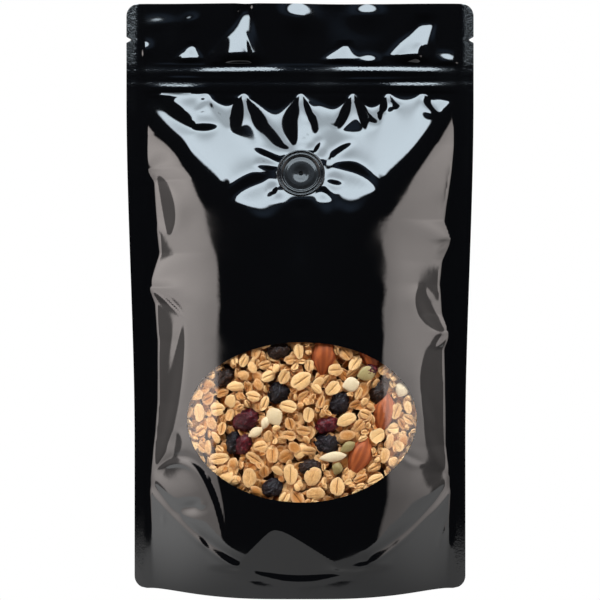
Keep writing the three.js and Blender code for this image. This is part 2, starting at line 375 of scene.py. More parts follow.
table_mesh = bpy.data.meshes.new("table")
table_mesh.from_pydata(
    [(sx * TABLE_WIDTH / 2 * MM, sy * TABLE_REACH * MM, 0)
     for sx, sy in ((-1, -1), (1, -1), (1, 1), (-1, 1))], [], [(0, 1, 2, 3)])
table_mesh.materials.append(table_finish())
table = bpy.data.objects.new("table", table_mesh)
bpy.context.scene.collection.objects.link(table)

# %% [markdown]
# ## The pouch's outline and its depth
#
# A pouch starts as two flat films, sealed down both sides. Filling it draws the sides in
# a little and gives a belly. A flat panel runs down from the zip and meets the belly in
# a rounded shoulder. The depth is worked out as the smaller of those two forms, with
# the place where they cross rounded off. Formulas suit film better than sculpting would,
# because a mirror shows every lump that a hand leaves.

# %% Outline
HEIGHT = 286.0
FLAT_HALF_WIDTH = 85.0
SIDE_PULL = 4.0  # how far the filling draws each side in, from PULL_FROM down
PULL_FROM = 240.0
PULL_OVER = 170.0
SIDE_SEAL = 6.2
NOTCH_HEIGHT = 268.4
NOTCH_DEPTH = 2.4
NOTCH_HALF_HEIGHT = 1.4
NOTCH_BLUNTNESS = 0.7
CORNER_RADIUS = 6.0
SEAL_HALF_THICKNESS = 0.4
ZIP_BOTTOM = 243.0
ZIP_TOP = 256.0


def smooth(t):
    t = np.clip(t, 0.0, 1.0)
    return t * t * (3 - 2 * t)


def bell(distance, width):
    return np.exp(-((distance / width) ** 2))


def pulled_half_width(z):
    return FLAT_HALF_WIDTH - SIDE_PULL * smooth((PULL_FROM - z) / PULL_OVER)


def outline_half_width(z):
    to_end = np.minimum(z, HEIGHT - z)
    rise = np.clip(CORNER_RADIUS - np.maximum(to_end, 0), 0, CORNER_RADIUS)
    from_notch = np.clip(np.abs(z - NOTCH_HEIGHT) / NOTCH_HALF_HEIGHT, 0, 1)
    notch = NOTCH_DEPTH * (1 - from_notch) ** NOTCH_BLUNTNESS
    rounded = np.sqrt(CORNER_RADIUS**2 - rise**2) - CORNER_RADIUS
    return pulled_half_width(z) + rounded - notch


def bag_half_width(z):
    return pulled_half_width(z) - SIDE_SEAL


def share_across(x, z):
    return np.clip(np.abs(x) / bag_half_width(z), 0, 1)


# %% Depth of the belly and of the panel under the zip
BELLY = 26.0
PANEL_SLOPE = 0.395
PANEL_START = 0.8
CREASE_DELAY = 2.5  # mm by which the panel's slope sets in late, within CREASE_REACH
CREASE_REACH = 10.0
SHOULDER_BLEND = 4.0

# The zip holds the film at these points, and between them the film hangs in scallops.
HELD_AT = [-76, -46, -27.5, 0.5, 26, 43, 60, 76]
SCALLOPS = [5, 8, 13, 14, 12, 7, 5]
SCALLOP_LEAST = 0.6

# The stiff valve draws the belly in below itself, and the film stands out a little on
# both sides of that. Middle, half width and depth of each:
DRAWN_IN = [(0, 11.5, 5.8), (18, 4, 1.5)]
DRAWN_FROM = 135.0
DRAWN_OVER = 50.0
PUSHED_OUT = [(-20, 8, 1.3), (29, 8, 1.3)]
PUSHED_FROM = 160.0
PUSHED_OVER = 25.0


def soft_min(a, b, blend):
    return (a + b - np.sqrt((a - b) ** 2 + blend**2)) / 2


def scallop_depth(x):
    depth = np.full_like(x, SCALLOP_LEAST)
    for left, right, drop in zip(HELD_AT, HELD_AT[1:], SCALLOPS):
        t = np.clip((x - left) / (right - left), 0, 1)
        depth += drop * 4 * t * (1 - t)
    return depth


def panel_depth(x, z):
    down = np.maximum(ZIP_BOTTOM - z, 0)
    late = CREASE_DELAY * (1 - np.exp(-down / CREASE_REACH))
    hang = 1 - bell(down, scallop_depth(x))
    return PANEL_START + PANEL_SLOPE * (down - late) * hang


def drawn_by_valve(x, z):
    drawn = sum(depth * bell(x - at, width) for at, width, depth in DRAWN_IN)
    pushed = sum(depth * bell(x - at, width) for at, width, depth in PUSHED_OUT)
    below = smooth((z - DRAWN_FROM) / DRAWN_OVER)
    return drawn * below - pushed * smooth((z - PUSHED_FROM) / PUSHED_OVER)


# %% The foot, with its two skirts
FOOT_DEPTH = 22.4
FOOT_POWER = 3.4
FOOT_FLARE = 1.9
SKIRT_FLARE = 0.075  # how much the front leans out below the gusset's seam
SKIRT_TOP = 9.0
FLARE_HALF_WIDTH = 18.0
FLARE_FADE = 26.0
SIDE_FOOT_TOP = 54.0
SIDE_FOOT_OVER = 50.0
# Above the gusset's seam the belly turns under in one bell-shaped facet.
FACET_TOP = (-12.0, 33.5)
FACET_BOTTOM = 12.5
FACET_FALL = (1.3, 0.75)  # how steeply its edge falls to the left and to the right
FACET_ROUNDING = 4.0
FACET_LEAST = 2.0
FACET_HALF_WIDTH = 32.0
FACET_FADE = 14.0


def foot_share(x, z):
    """0 on the belly and 1 on the skirts, where the foot has its own curve."""
    aside = x - FACET_TOP[0]
    fall = np.where(aside < 0, FACET_FALL[0], FACET_FALL[1]) * aside
    rounded = FACET_TOP[1] + FACET_ROUNDING - np.sqrt(fall**2 + FACET_ROUNDING**2)
    top = np.maximum(rounded, FACET_BOTTOM + FACET_LEAST)
    middle = np.clip((top - z) / (top - FACET_BOTTOM), 0, 1)
    sides = smooth((SIDE_FOOT_TOP - z) / SIDE_FOOT_OVER)
    outward = smooth((np.abs(x) - FACET_HALF_WIDTH) / FACET_FADE)
    return middle * (1 - outward) + sides * outward


def foot_depth(x, z):
    spread = 1 - smooth((np.abs(x) - FLARE_HALF_WIDTH) / FLARE_FADE)
    skirt = SKIRT_FLARE * np.maximum(SKIRT_TOP - z, 0) * spread
    return FOOT_DEPTH * (1 - share_across(x, z) ** FOOT_POWER) ** FOOT_FLARE + skirt


# %% The sides: a flat strip beside each seal, and the arch between the two
# The strip ends in a crease, and the crease comes near to the seal where the film
# buckles. Height and width of the strip:
LEFT_STRIP = [
    (0, 2), (56, 1), (75, 4), (91, 5.5), (121, 6.5), (139, 5.5), (147, 2), (164, 8.6),
    (175, 7.8), (199, 6.5), (205, 2.5), (222, 3), (243, 1),
]
RIGHT_STRIP = [
    (0, 2), (55, 0.5), (70, 3.5), (88, 4), (117, 5), (125, 2), (134, 6.5), (149, 8.5),
    (160, 7.5), (171, 2.5), (180, 7), (187, 6.5), (217, 2.5), (243, 1),
]
STRIP_SLOPE = 0.2
ARCH_POWER = 1.9
LOWER_POWER = 0.2  # and how much more below the points of the side bands
LOWER_FROM = 163.0
LOWER_OVER = 40.0
CORNERS_FADE = 26.0  # mm from the crease to where its corners no longer tell
SOFTENED = np.linspace(-20, 20, 17)  # mm up and down over which corners are evened out


def strip_width(x, z):
    left = np.interp(z, *zip(*LEFT_STRIP))
    right = np.interp(z, *zip(*RIGHT_STRIP))
    return np.where(x < 0, left, right)


def strip_and_arch(x, z, strip, belly):
    """The strip beside the seal, and the arch over the belly from crease to crease."""
    inner = bag_half_width(z) - strip
    in_strip = np.clip(bag_half_width(z) - np.abs(x), 0, strip)
    gain = STRIP_SLOPE * strip
    power = ARCH_POWER + LOWER_POWER * smooth((LOWER_FROM - z) / LOWER_OVER)
    arch = 1 - np.clip(np.abs(x) / inner, 0, 1) ** power
    return STRIP_SLOPE * in_strip + (belly - gain) * arch


def side_depth(x, z, belly):
    """Sharp corners at the crease, and an even arch away from it."""
    strip = strip_width(x, z)
    even = sum(strip_width(x, z + shift) for shift in SOFTENED) / len(SOFTENED)
    away = smooth((bag_half_width(z) - strip - np.abs(x)) / CORNERS_FADE)
    sharp_side = strip_and_arch(x, z, strip, belly)
    side = sharp_side * (1 - away) + strip_and_arch(x, z, even, belly) * away
    foot = foot_share(x, z)
    return side * (1 - foot) + foot_depth(x, z) * foot


def bag_half_depth(x, z, belly=BELLY):
    depth = soft_min(panel_depth(x, z), side_depth(x, z, belly), SHOULDER_BLEND)
    return np.maximum(depth, SEAL_HALF_THICKNESS)


heights = np.array([240.0, 200.0, 150.0, 100.0, 50.0])
print("half depth down the middle:", bag_half_depth(0 * heights, heights).round(1))

# %% [markdown]
# ## The zip and the header
#
# The zip is two plastic profiles welded inside the films, so the film shows its flange,
# two welded bands and the press-together rib. All of them run nearly straight across, so
# each is one bell-shaped line in the depth. Above the zip the two films lie together as
# the header, which bows to and fro.

# %% Zip profile and header
# Height, width and how proud each line stands, then the stretches where it stands most.
ZIP_LINES = [
    [252.3, 1.9, 0.55, (-56, -3), (10, 76)],
    [249.3, 0.8, 0.26, (-72, -22), (15, 73)],
    [245.0, 1.6, 0.5, (-78, -42), (36, 76)],
    [256.3, 0.5, 0.14, (-76, -20), (60, 76)],
]
ZIP_HALF_DEPTH = 0.8
ZIP_SWAY = 0.35
ZIP_SWAY_LENGTH = 29.0
STRETCH_ENDS = 14.0  # mm over which such a stretch comes and goes
STANDS_LEAST = 0.28
STANDS_MORE = 0.85
HEADER_HALF_DEPTH = 0.7
HEADER_FROM = 1.0  # mm below the zip's top, and over how many mm the header begins
HEADER_OVER = 2.5
HEADER_WAVE = 1.3
SEAL_FADE = 0.05  # share of the half width in which forms fade out to the side seal


def stands_most(x, stretches):
    share = 0 * x
    for left, right in stretches:
        inside = smooth((x - left) / STRETCH_ENDS) * smooth((right - x) / STRETCH_ENDS)
        share = np.maximum(share, inside)
    return share


def from_seal(x, z, fade=SEAL_FADE):
    """0 at the side seals, and 1 a little way in from them."""
    return smooth((1 - share_across(x, z)) / fade)


def zip_half_depth(x, z):
    depth = ZIP_HALF_DEPTH + 0 * x
    for height, width, proud, *stretches in ZIP_LINES:
        sway = ZIP_SWAY * np.sin(x / ZIP_SWAY_LENGTH + height)
        stands = STANDS_LEAST + STANDS_MORE * stands_most(x, stretches)
        depth = depth + proud * stands * bell(z - height - sway, width)
    header = smooth((z - ZIP_TOP + HEADER_FROM) / HEADER_OVER)
    depth = depth * (1 - header) + HEADER_HALF_DEPTH * header
    return SEAL_HALF_THICKNESS + (depth - SEAL_HALF_THICKNESS) * from_seal(x, z)


def half_depth(x, z, belly=BELLY):
    return np.where(z >= ZIP_BOTTOM, zip_half_depth(x, z), bag_half_depth(x, z, belly))


def middle_surface(x, z):
    rise = smooth((z - ZIP_TOP) / (HEIGHT - ZIP_TOP))
    inside = 1 - (x / FLAT_HALF_WIDTH) ** 2
    wave = np.sin(x / (2 * FLAT_HALF_WIDTH) * 3 * math.pi)
    return HEADER_WAVE * rise * inside * wave


print("half depth at the zip's rib:", zip_half_depth(np.array([0.0]), np.array([249.3])).round(2))

# %% [markdown]
# ## Folds
#
# Cloth simulation gives soft fabric folds. Film folds differ: it doesn't stretch, so it
# breaks into a few crisp facets between points where it is held. A few kinds of fold
# are enough, and each is laid where the eye expects it.
#
# A **pleat** is a narrow lens in which the film leans sideways and comes back, and a
# **petal** is a short one whose ends run out softly. Both follow a curve.

# %% Pleats and petals
FOLD_STEEPNESS = 1.5
FOLD_REACH = 1.9  # a fold fades out at this many times its half width
FAR = 1e9


def bend_points(path, count):
    """Points on the curve that starts and ends at the path's ends, pulled to its middle."""
    start, middle, end = (np.array(p, float) for p in path)
    t = np.linspace(0, 1, count + 1)[:, None]
    return (1 - t) ** 2 * start + 2 * t * (1 - t) * middle + t * t * end


def along_and_aside(x, z, path, count):
    """For every point: how far along the path it lies, and its distance to one side."""
    points = bend_points(path, count)
    nearest = np.full(x.shape, np.inf)
    along = np.zeros(x.shape)
    aside = np.zeros(x.shape)
    for i in range(count):
        start, run = points[i], points[i + 1] - points[i]
        share = ((x - start[0]) * run[0] + (z - start[1]) * run[1]) / (run @ run)
        share = np.clip(share, -FAR if i == 0 else 0, FAR if i == count - 1 else 1)
        dx = x - start[0] - share * run[0]
        dz = z - start[1] - share * run[1]
        squared = dx * dx + dz * dz
        closer = squared < nearest
        side = np.sign(dz * run[0] - dx * run[1])
        nearest = np.where(closer, squared, nearest)
        along = np.where(closer, (i + share) / count, along)
        aside = np.where(closer, side * np.sqrt(squared), aside)
    return along, aside


def leaning_film(aside, half, strength, lean):
    """Film that leans over a line and comes back on both sides of it."""
    return lean * half * strength * np.tanh(aside / half) * bell(aside, FOLD_REACH * half)


def pleat(x, z, start, middle, end, width, lean):
    along, aside = along_and_aside(x, z, (start, middle, end), 24)
    lens = np.clip(4 * along * (1 - along), 0, 1) ** 0.9
    half = width / FOLD_STEEPNESS * (0.3 + 0.7 * lens)
    return leaning_film(aside, half, np.sqrt(lens), lean)


def petal(x, z, start, middle, end, width, lean):
    along, aside = along_and_aside(x, z, (start, middle, end), 12)
    lens = np.clip(4 * along * (1 - along), 0, 1)
    half = width / FOLD_STEEPNESS * (0.5 + 0.5 * lens)
    return leaning_film(aside, half, lens, lean)


# %% [markdown]
# A **kink** starts at a point on the side seal, where the film buckles, and opens
# towards the belly as a valley with a sharp bottom. A **dome** is an oval dent or
# bulge. A **ramp** is a flat facet of the header that leans up at the lamp and drops
# back to the zip at its foot.

# %% Kinks, domes and ramps
KINK_CREST = 0.3  # where along a kink it is deepest
KINK_SPREAD = 0.25
KINK_SHARPNESS = 0.4  # the rounding of its bottom at the point
KINK_ROUNDING = 0.3  # and how much rounder that gets on its way to the belly
RAMP_START = 0.12
RAMP_SUNK = 0.36  # the share of its height that lies below the film around it
RAMP_FOOT = 0.3  # the share of its height in which it falls back to the zip


def kink(x, z, point, end, width, depth):
    point, end = np.array(point, float), np.array(end, float)
    length = np.hypot(*(end - point))
    ahead = (end - point) / length
    along = (x - point[0]) * ahead[0] + (z - point[1]) * ahead[1]
    aside = (z - point[1]) * ahead[0] - (x - point[0]) * ahead[1]
    share = np.clip(along / length, 0, 1)
    strength = np.sin(math.pi * share ** (math.log(0.5) / math.log(KINK_CREST))) ** 1.5
    far = np.clip(along, 0, None)
    open_width = width + KINK_SPREAD * far
    round_tip = KINK_SHARPNESS + KINK_ROUNDING * far
    fall = (np.sqrt(aside**2 + round_tip**2) - round_tip) / open_width
    return -depth * strength * np.exp(-fall)


def dome(x, z, at, turn, size, proud):
    cosine, sine = math.cos(math.radians(turn)), math.sin(math.radians(turn))
    along = (x - at[0]) * cosine + (z - at[1]) * sine
    upward = (z - at[1]) * cosine - (x - at[0]) * sine
    return proud * np.exp(-((along / size[0]) ** 2) - (upward / size[1]) ** 2)


def ramp(x, z, top, foot, half_widths, proud):
    down = (top[1] - z) / (top[1] - foot[1])
    share = np.clip(down, 0, 1)
    middle = top[0] + (foot[0] - top[0]) * share
    width = half_widths[0] + (half_widths[1] - half_widths[0]) * share
    climb = share**2 / (share + RAMP_START) * (1 + RAMP_START)
    sunk = RAMP_SUNK * smooth((down + RAMP_FOOT) / RAMP_FOOT)
    falls_back = 1 - smooth((down - 1) / RAMP_FOOT)
    return proud * (climb - sunk) * falls_back * np.exp(-(np.abs((x - middle) / width) ** 3))


# %% Where the folds lie: start, pull point and end in mm, then width and lean
VALVE_AT = (0.4, 201.3)

PLEATS_AT_VALVE = [
    [(-26.5, 239), (-20, 224), (-5, 212.5), 7.5, -0.42],
    [(0, 239), (-7, 226), (-0.5, 213), 8.0, 0.42],
]
# One dimple up to the left of the valve, and then the petals all round it.
PETALS = [
    [(-53, 224.8), (-46, 224.3), (-39, 225.5), 3.6, 0.5],
    [(4.8, 209), (8, 214), (11.5, 219), 3.2, 0.5],
    [(9, 205), (17, 213), (27, 218), 4.6, 0.5],
    [(8, 201), (24, 213), (38, 194), 5.4, 0.47],
    [(11, 198), (16, 197.5), (21, 196), 2.9, 0.47],
    [(8, 196), (13, 194), (15.5, 188.5), 3.2, 0.45],
    [(-9, 196), (-12, 193), (-16, 189), 2.8, -0.47],
    [(-7, 200.5), (-24, 203), (-36, 188), 6.0, -0.47],
    [(-9.5, 203.5), (-15, 205), (-23, 205), 2.8, -0.47],
    [(-8, 206.5), (-14, 209.5), (-22, 214.5), 3.2, -0.47],
]
PLEATS_AT_ZIP = [
    [(-27.5, 239), (-29, 231), (-35, 224), 8.0, 0.42],
    [(2, 238), (3, 233), (6.5, 228.5), 2.8, -0.42],
    [(25, 239), (22, 231), (17, 224), 6.0, 0.42],
    [(27, 239), (31, 231), (38.5, 226), 5.2, -0.42],
    [(42, 239.5), (41, 236), (42.5, 232), 4.0, 0.42],
    [(-45.5, 238.5), (-47, 236.5), (-51, 233), 3.0, 0.42],
    [(59.5, 239), (62, 235), (68, 232.5), 3.6, -0.42],
    [(-76, 242), (-62, 238), (-50, 223), 7.5, 0.42],
]
# The point at the side seal, the inner end, width and depth.
KINKS = [
    [(-76.5, 147), (-38, 160), 7, 1.3],
    [(-75.5, 205), (-52, 209), 6, 1.0],
    [(-74, 56), (-48.5, 61), 6, 1.0],
    [(76, 171), (40, 162), 7, 1.4],
    [(75.5, 124.5), (43, 133), 7, 1.2],
    [(75, 55), (53, 58.5), 6, 1.0],
]
# Steeper stretches of the sides, which mirror the dim wall beside the lamps.
STEEPS = [
    [(-70, 203), (-60, 184), (-64, 173), 6.0, 0.2],
    [(-73, 146), (-68, 143), (-63, 136), 2.0, 0.2],
    [(-56, 132), (-58, 96), (-71, 58), 5.0, 0.16],
    [(-60, 78), (-56, 72), (-62, 64), 3.5, 0.12],
    [(60, 148), (54, 137), (72, 125), 5.5, -0.2],
    [(69, 122), (54, 104), (67, 78), 7.0, -0.13],
    [(60, 96), (62, 72), (73, 57), 5.0, -0.13],
]
CREASES = [
    [(-74, 147), (-62, 141), (-54.5, 131), 1.3, -0.5],
    [(-71, 57), (-46, 80), (-36, 29), 2.6, -0.34],
    [(-50, 29.5), (-46, 26), (-43, 22.5), 1.4, -0.3],
    [(74, 50), (68, 42), (60.5, 34), 1.2, 0.22],
    [(60, 62), (54, 62), (47, 69), 2.0, 0.2],
    [(72.5, 36), (70, 28), (67.5, 19), 1.4, 0.35],
    [(73, 171), (69, 167), (66, 164.5), 1.6, 0.3],
    [(73, 124.5), (69, 122), (65, 117), 1.8, 0.3],
]
# Middle, turn in degrees, half width and height, and how proud.
FOOT_DENTS = [
    [(-52, 41.5), 12, (6.5, 3.0), -0.8],
    [(-47, 43), 35, (2.6, 1.6), 0.35],
    [(-66.5, 35), 0, (0.9, 2.6), 0.3],
    [(31.5, 16), 30, (2.2, 3.0), -0.5],
]
HEADER_BULGES = [
    [(-41.5, 257), 0, (3.0, 3.4), 0.9],
    [(-76, 263), -30, (3.5, 4.0), 1.1],
    [(-70, 276), 4, (7.5, 3.0), 0.62],
    [(-54, 277), 20, (4.5, 3.0), 0.66],
    [(-1, 278.5), -10, (7.5, 6.0), 1.9],
    [(33.5, 257), 0, (5.5, 3.0), 0.9],
    [(33, 280.5), 0, (6.5, 4.6), 1.2],
    [(72, 257), -14, (7.0, 4.0), 1.2],
]
# Top and foot, half width at each, and how proud.
HEADER_RAMPS = [
    [(-26.5, 283), (-30, 261), (3.6, 10.0), 5.4],
    [(61, 277), (55, 260.5), (5.0, 9.0), 4.3],
    [(22, 266), (20, 258.5), (2.4, 7.0), 2.0],
    [(-53, 266), (-54, 259), (2.5, 5.5), 1.9],
]
# Narrow pleats over the ramps.
HEADER_PLEATS = [
    [(-27, 272), (-25, 264), (-24, 257), 2.0, -0.35],
    [(60, 266), (58, 262), (59, 257), 3.0, -0.35],
    [(-55, 263), (-54, 260), (-54, 257), 1.6, 0.3],
]

# %% The relief: the weld of the gusset, and all the folds of a film
SEAM_LOW = 8.5
SEAM_HIGH = 55.0
SEAM_HALF_WIDTH = 80.0
RELIEF_ENDS = 2.0  # mm over which the folds fade out at the zip
HEADER_SEAL_FADE = 0.04
# How far round its ends a fold can still tell, in mm.
PLEAT_MARGIN = 40
KINK_MARGIN = 60
SMALL_MARGIN = 12


def seam_height(x):
    return SEAM_LOW + (SEAM_HIGH - SEAM_LOW) * (x / SEAM_HALF_WIDTH) ** 2


def seam_relief(x, z):
    """The curved weld of the bottom gusset: a fine ridge with a hollow above it."""
    climb = 2 * (SEAM_HIGH - SEAM_LOW) * x / SEAM_HALF_WIDTH**2
    above = (z - seam_height(x)) / np.sqrt(1 + climb**2)
    return 0.2 * bell(above, 1.2) - 0.25 * bell(above - 3, 2.2)


def add_folds(relief, x, z, folds, shape, margin):
    """Add each fold where it reaches, and leave the rest alone."""
    for fold in folds:
        corners = np.array([p for p in fold if isinstance(p, tuple)])
        low = corners.min(axis=0) - margin
        high = corners.max(axis=0) + margin
        near = (x > low[0]) & (x < high[0]) & (z > low[1]) & (z < high[1])
        if near.any():
            relief[near] += shape(x[near], z[near], *fold)


def bag_relief(x, z):
    relief = seam_relief(x, z)
    add_folds(relief, x, z, PLEATS_AT_ZIP + STEEPS + CREASES, pleat, PLEAT_MARGIN)
    add_folds(relief, x, z, KINKS, kink, KINK_MARGIN)
    for dent in FOOT_DENTS:
        relief += dome(x, z, *dent)
    relief *= from_seal(x, z) * smooth((ZIP_BOTTOM - z) / RELIEF_ENDS)
    return relief


def header_relief(x, z):
    relief = np.zeros_like(x)
    for bulge in HEADER_BULGES:
        relief += dome(x, z, *bulge)
    for facet in HEADER_RAMPS:
        relief += ramp(x, z, *facet)
    add_folds(relief, x, z, HEADER_PLEATS, pleat, SMALL_MARGIN)
    above_zip = smooth((z - ZIP_TOP + 0.5) / RELIEF_ENDS)
    return relief * from_seal(x, z, HEADER_SEAL_FADE) * above_zip


print("folds:", sum(map(len, (
    PLEATS_AT_VALVE, PETALS, PLEATS_AT_ZIP, KINKS, STEEPS, CREASES, FOOT_DENTS,
    HEADER_BULGES, HEADER_RAMPS, HEADER_PLEATS))))

# %% [markdown]
# ## The front and back surfaces
#
# Both films follow the same depth. The valve is a stiff disc, so within its radius the
# front is blended into one plane, its seat. The two long pleats and the petals start at
# its rim, and are added after that, so they stay crisp up to the rim.

# %% Front and back
VALVE_RADIUS = 11.5
VALVE_MARGIN = 20  # mm round the valve's long pleats in which they can still tell
SEAT_SLOPE = 0.31
SEAT_TURN = -0.03
SEAT_SQUASH = 0.96  # the leaning disc looks this much lower than it is wide
SEAT_BLEND = 6.0


def raw_front(x, z):
    x, z = np.broadcast_arrays(np.asarray(x, float), np.asarray(z, float))
    relief = bag_relief(x, z)
    depth = half_depth(x, z, BELLY - drawn_by_valve(x, z))
    return middle_surface(x, z) - depth - relief - header_relief(x, z)


VALVE_DEPTH = float(raw_front([VALVE_AT[0]], [VALVE_AT[1]])[0])


def front(x, z):
    x, z = np.broadcast_arrays(np.asarray(x, float), np.asarray(z, float))
    surface = raw_front(x, z)
    seat = VALVE_DEPTH + SEAT_SLOPE * (z - VALVE_AT[1]) + SEAT_TURN * (x - VALVE_AT[0])
    from_valve = np.hypot(x - VALVE_AT[0], (z - VALVE_AT[1]) / SEAT_SQUASH)
    flat = 1 - smooth((from_valve - VALVE_RADIUS) / SEAT_BLEND)
    pleats = np.zeros(x.shape)
    add_folds(pleats, x, z, PLEATS_AT_VALVE, pleat, VALVE_MARGIN)
    add_folds(pleats, x, z, PETALS, petal, SMALL_MARGIN)
    pleats *= smooth((from_valve - VALVE_RADIUS + 0.5) / RELIEF_ENDS)
    return surface * (1 - flat) + seat * flat - pleats


def front_at(x, z):
    return float(front(np.array([x], float), np.array([z], float))[0])


def back(x, z):
    x, z = np.broadcast_arrays(np.asarray(x, float), np.asarray(z, float))
    relief = bag_relief(x, z)
    return middle_surface(x, z) + half_depth(x, z) + relief - header_relief(x, z)


print("seat of the valve at depth", round(VALVE_DEPTH, 2))

# %% [markdown]
# ## The film as one closed skin
#
# The skin is a grid for the front and one for the back that share their rows. The grid
# is finer across the middle and under the zip, where the folds are small. The two are
# joined by the thin side edges, by a narrow open mouth at the top, and at the bottom by
# the two skirts and the gusset between them. A Solidify modifier could give the film
# its thickness, but the mouth, the gusset and the hollow each need another one, so the
# inner faces are made here where they show.

# %% Rows and columns
def graded(stops):
    """Values from the first stop to the last, with the step given for each stretch."""
    values = [stops[0][0]]
    for (start, step), (end, _) in zip(stops, stops[1:]):
        count = max(1, round((end - start) / step))
        values += [start + (end - start) * (i + 1) / count for i in range(count)]
    return np.array(values)


ROWS = graded([
    (0, 0.6), (3, 1.0), (40, 0.9), (190, 0.7), (243, 0.5), (258, 0.8), (266.8, 0.28),
    (270, 0.8), (HEIGHT - 3, 0.5), (HEIGHT, 1),
])
COLUMNS = graded([(-79, 0.9), (-38, 0.75), (38, 0.9), (79, 1)]) / 79  # shares of the half width
SEAL_STEPS = np.array([0.35, 0.7, 1.0])

bag = bag_half_width(ROWS)[:, None] * COLUMNS[None, :]
seal = (outline_half_width(ROWS) - bag_half_width(ROWS))[:, None]
right_seal = bag_half_width(ROWS)[:, None] + seal * SEAL_STEPS[None, :]
GRID_X = np.concatenate([-right_seal[:, ::-1], bag, right_seal], axis=1)
GRID_Z = np.repeat(ROWS[:, None], GRID_X.shape[1], axis=1)
ROW_COUNT, COLUMN_COUNT = GRID_X.shape
FIRST_BAG = len(SEAL_STEPS)
LAST_BAG = COLUMN_COUNT - len(SEAL_STEPS) - 1
FRONT_Y = front(GRID_X, GRID_Z)
BACK_Y = back(GRID_X, GRID_Z)
print("film grid", ROW_COUNT, "x", COLUMN_COUNT)


# %% A mesh under construction
class Skin:
    """Points, in metres, and faces that are gathered before they become a mesh."""

    def __init__(self):
        self.points = []
        self.faces = []

    def add(self, x, y, z):
        self.points.append((x * MM, y * MM, z * MM))
        return len(self.points) - 1

    def add_grid(self, xs, ys, zs):
        """Add a block of points. Returns their numbers, in the block's shape."""
        first = len(self.points)
        block = np.stack([xs, ys, zs], axis=-1).reshape(-1, 3) * MM
        self.points.extend(map(tuple, block))
        return first + np.arange(xs.size).reshape(xs.shape)

    def quads(self, grid, flip=False):
        """Faces between the points of a grid. Points that coincide are counted once."""
        a, b = grid[:-1, :-1], grid[:-1, 1:]
        c, d = grid[1:, 1:], grid[1:, :-1]
        corners = (a, d, c, b) if flip else (a, b, c, d)
        quads = np.stack(corners, axis=-1).reshape(-1, 4)
        for quad in quads.tolist():
            distinct = list(dict.fromkeys(quad))
            if len(distinct) > 2:
                self.faces.append(distinct)

    def part(self, start, stop=None):
        """A skin of some of the faces, with only the points that they use."""
        faces = self.faces[start:stop]
        used = sorted({point for face in faces for point in face})
        place = {old: new for new, old in enumerate(used)}
        part = Skin()
        part.points = [self.points[old] for old in used]
        part.faces = [[place[old] for old in face] for face in faces]
        return part

    def piece(self, name, material, sharp=None):
        mesh = bpy.data.meshes.new(name)
        mesh.from_pydata(self.points, [], self.faces)
        mesh.validate()
        mesh.shade_smooth()
        if sharp:
            mesh.set_sharp_from_angle(angle=math.radians(sharp))
        mesh.materials.append(material)
        made = bpy.data.objects.new(name, mesh)
        bpy.context.scene.collection.objects.link(made)
        return made


# %% [markdown]
# ### The oval window in the front
#
# The clear oval is the same film without its black print. The grid's squares that cross
# the oval are cut along it, so the edge of the print is a true curve and not a row of
# steps. Behind it a shallow hollow, wider than the window, makes room for the muesli.

# %% Cutting the oval out of the grid
WINDOW_AT = (1.0, 83.6)
WINDOW_HALF_WIDTH = 55.2
WINDOW_HALF_HEIGHT = 37.6
HOLLOW_MARGIN = 7.0
HOLLOW_DEPTH = 12.5
FILM_THICKNESS = 0.35


def oval_share(x, z):
    """Below 1 inside the oval, and above 1 outside it."""
    across = (x - WINDOW_AT[0]) / WINDOW_HALF_WIDTH
    up = (z - WINDOW_AT[1]) / WINDOW_HALF_HEIGHT
    return np.hypot(across, up)


def angle_in_oval(skin, point):
    x, _, z = skin.points[point]
    return math.atan2((z / MM - WINDOW_AT[1]) / WINDOW_HALF_HEIGHT,
                      (x / MM - WINDOW_AT[0]) / WINDOW_HALF_WIDTH)


def cut_window(skin, grid):
    """The front's faces with the oval left out, and the oval's edge points in order."""
    share = oval_share(GRID_X, GRID_Z)
    outside = share > 1
    crossings = {}

    def crossing(p, q):
        key = (min(p, q), max(p, q))
        if key not in crossings:
            (r0, c0), (r1, c1) = divmod(key[0], COLUMN_COUNT), divmod(key[1], COLUMN_COUNT)
            t = (1 - share[r0, c0]) / (share[r1, c1] - share[r0, c0])
            x = GRID_X[r0, c0] + t * (GRID_X[r1, c1] - GRID_X[r0, c0])
            z = GRID_Z[r0, c0] + t * (GRID_Z[r1, c1] - GRID_Z[r0, c0])
            crossings[key] = skin.add(x, front_at(x, z), z)
        return crossings[key]

    for r in range(ROW_COUNT - 1):
        for c in range(COLUMN_COUNT - 1):
            cells = [(r, c), (r, c + 1), (r + 1, c + 1), (r + 1, c)]
            keep = [bool(outside[cell]) for cell in cells]
            if not any(keep):
                continue
            if all(keep):
                skin.faces.append([int(grid[cell]) for cell in cells])
                continue
            polygon = []
            for i in range(4):
                j = (i + 1) % 4
                if keep[i]:
                    polygon.append(int(grid[cells[i]]))
                if keep[i] != keep[j]:
                    polygon.append(crossing(int(grid[cells[i]]), int(grid[cells[j]])))
            skin.faces.append(polygon)

    return sorted(crossings.values(), key=lambda point: angle_in_oval(skin, point))


# Rings from the rim inward: share of the oval, margin round it, and depth.
HOLLOW_RINGS = [
    (1.0, 0.0, FILM_THICKNESS), (1.0, HOLLOW_MARGIN, FILM_THICKNESS),
    (1.0, HOLLOW_MARGIN, HOLLOW_DEPTH), (0.6, 0.0, HOLLOW_DEPTH), (0.2, 0.0, HOLLOW_DEPTH),
]


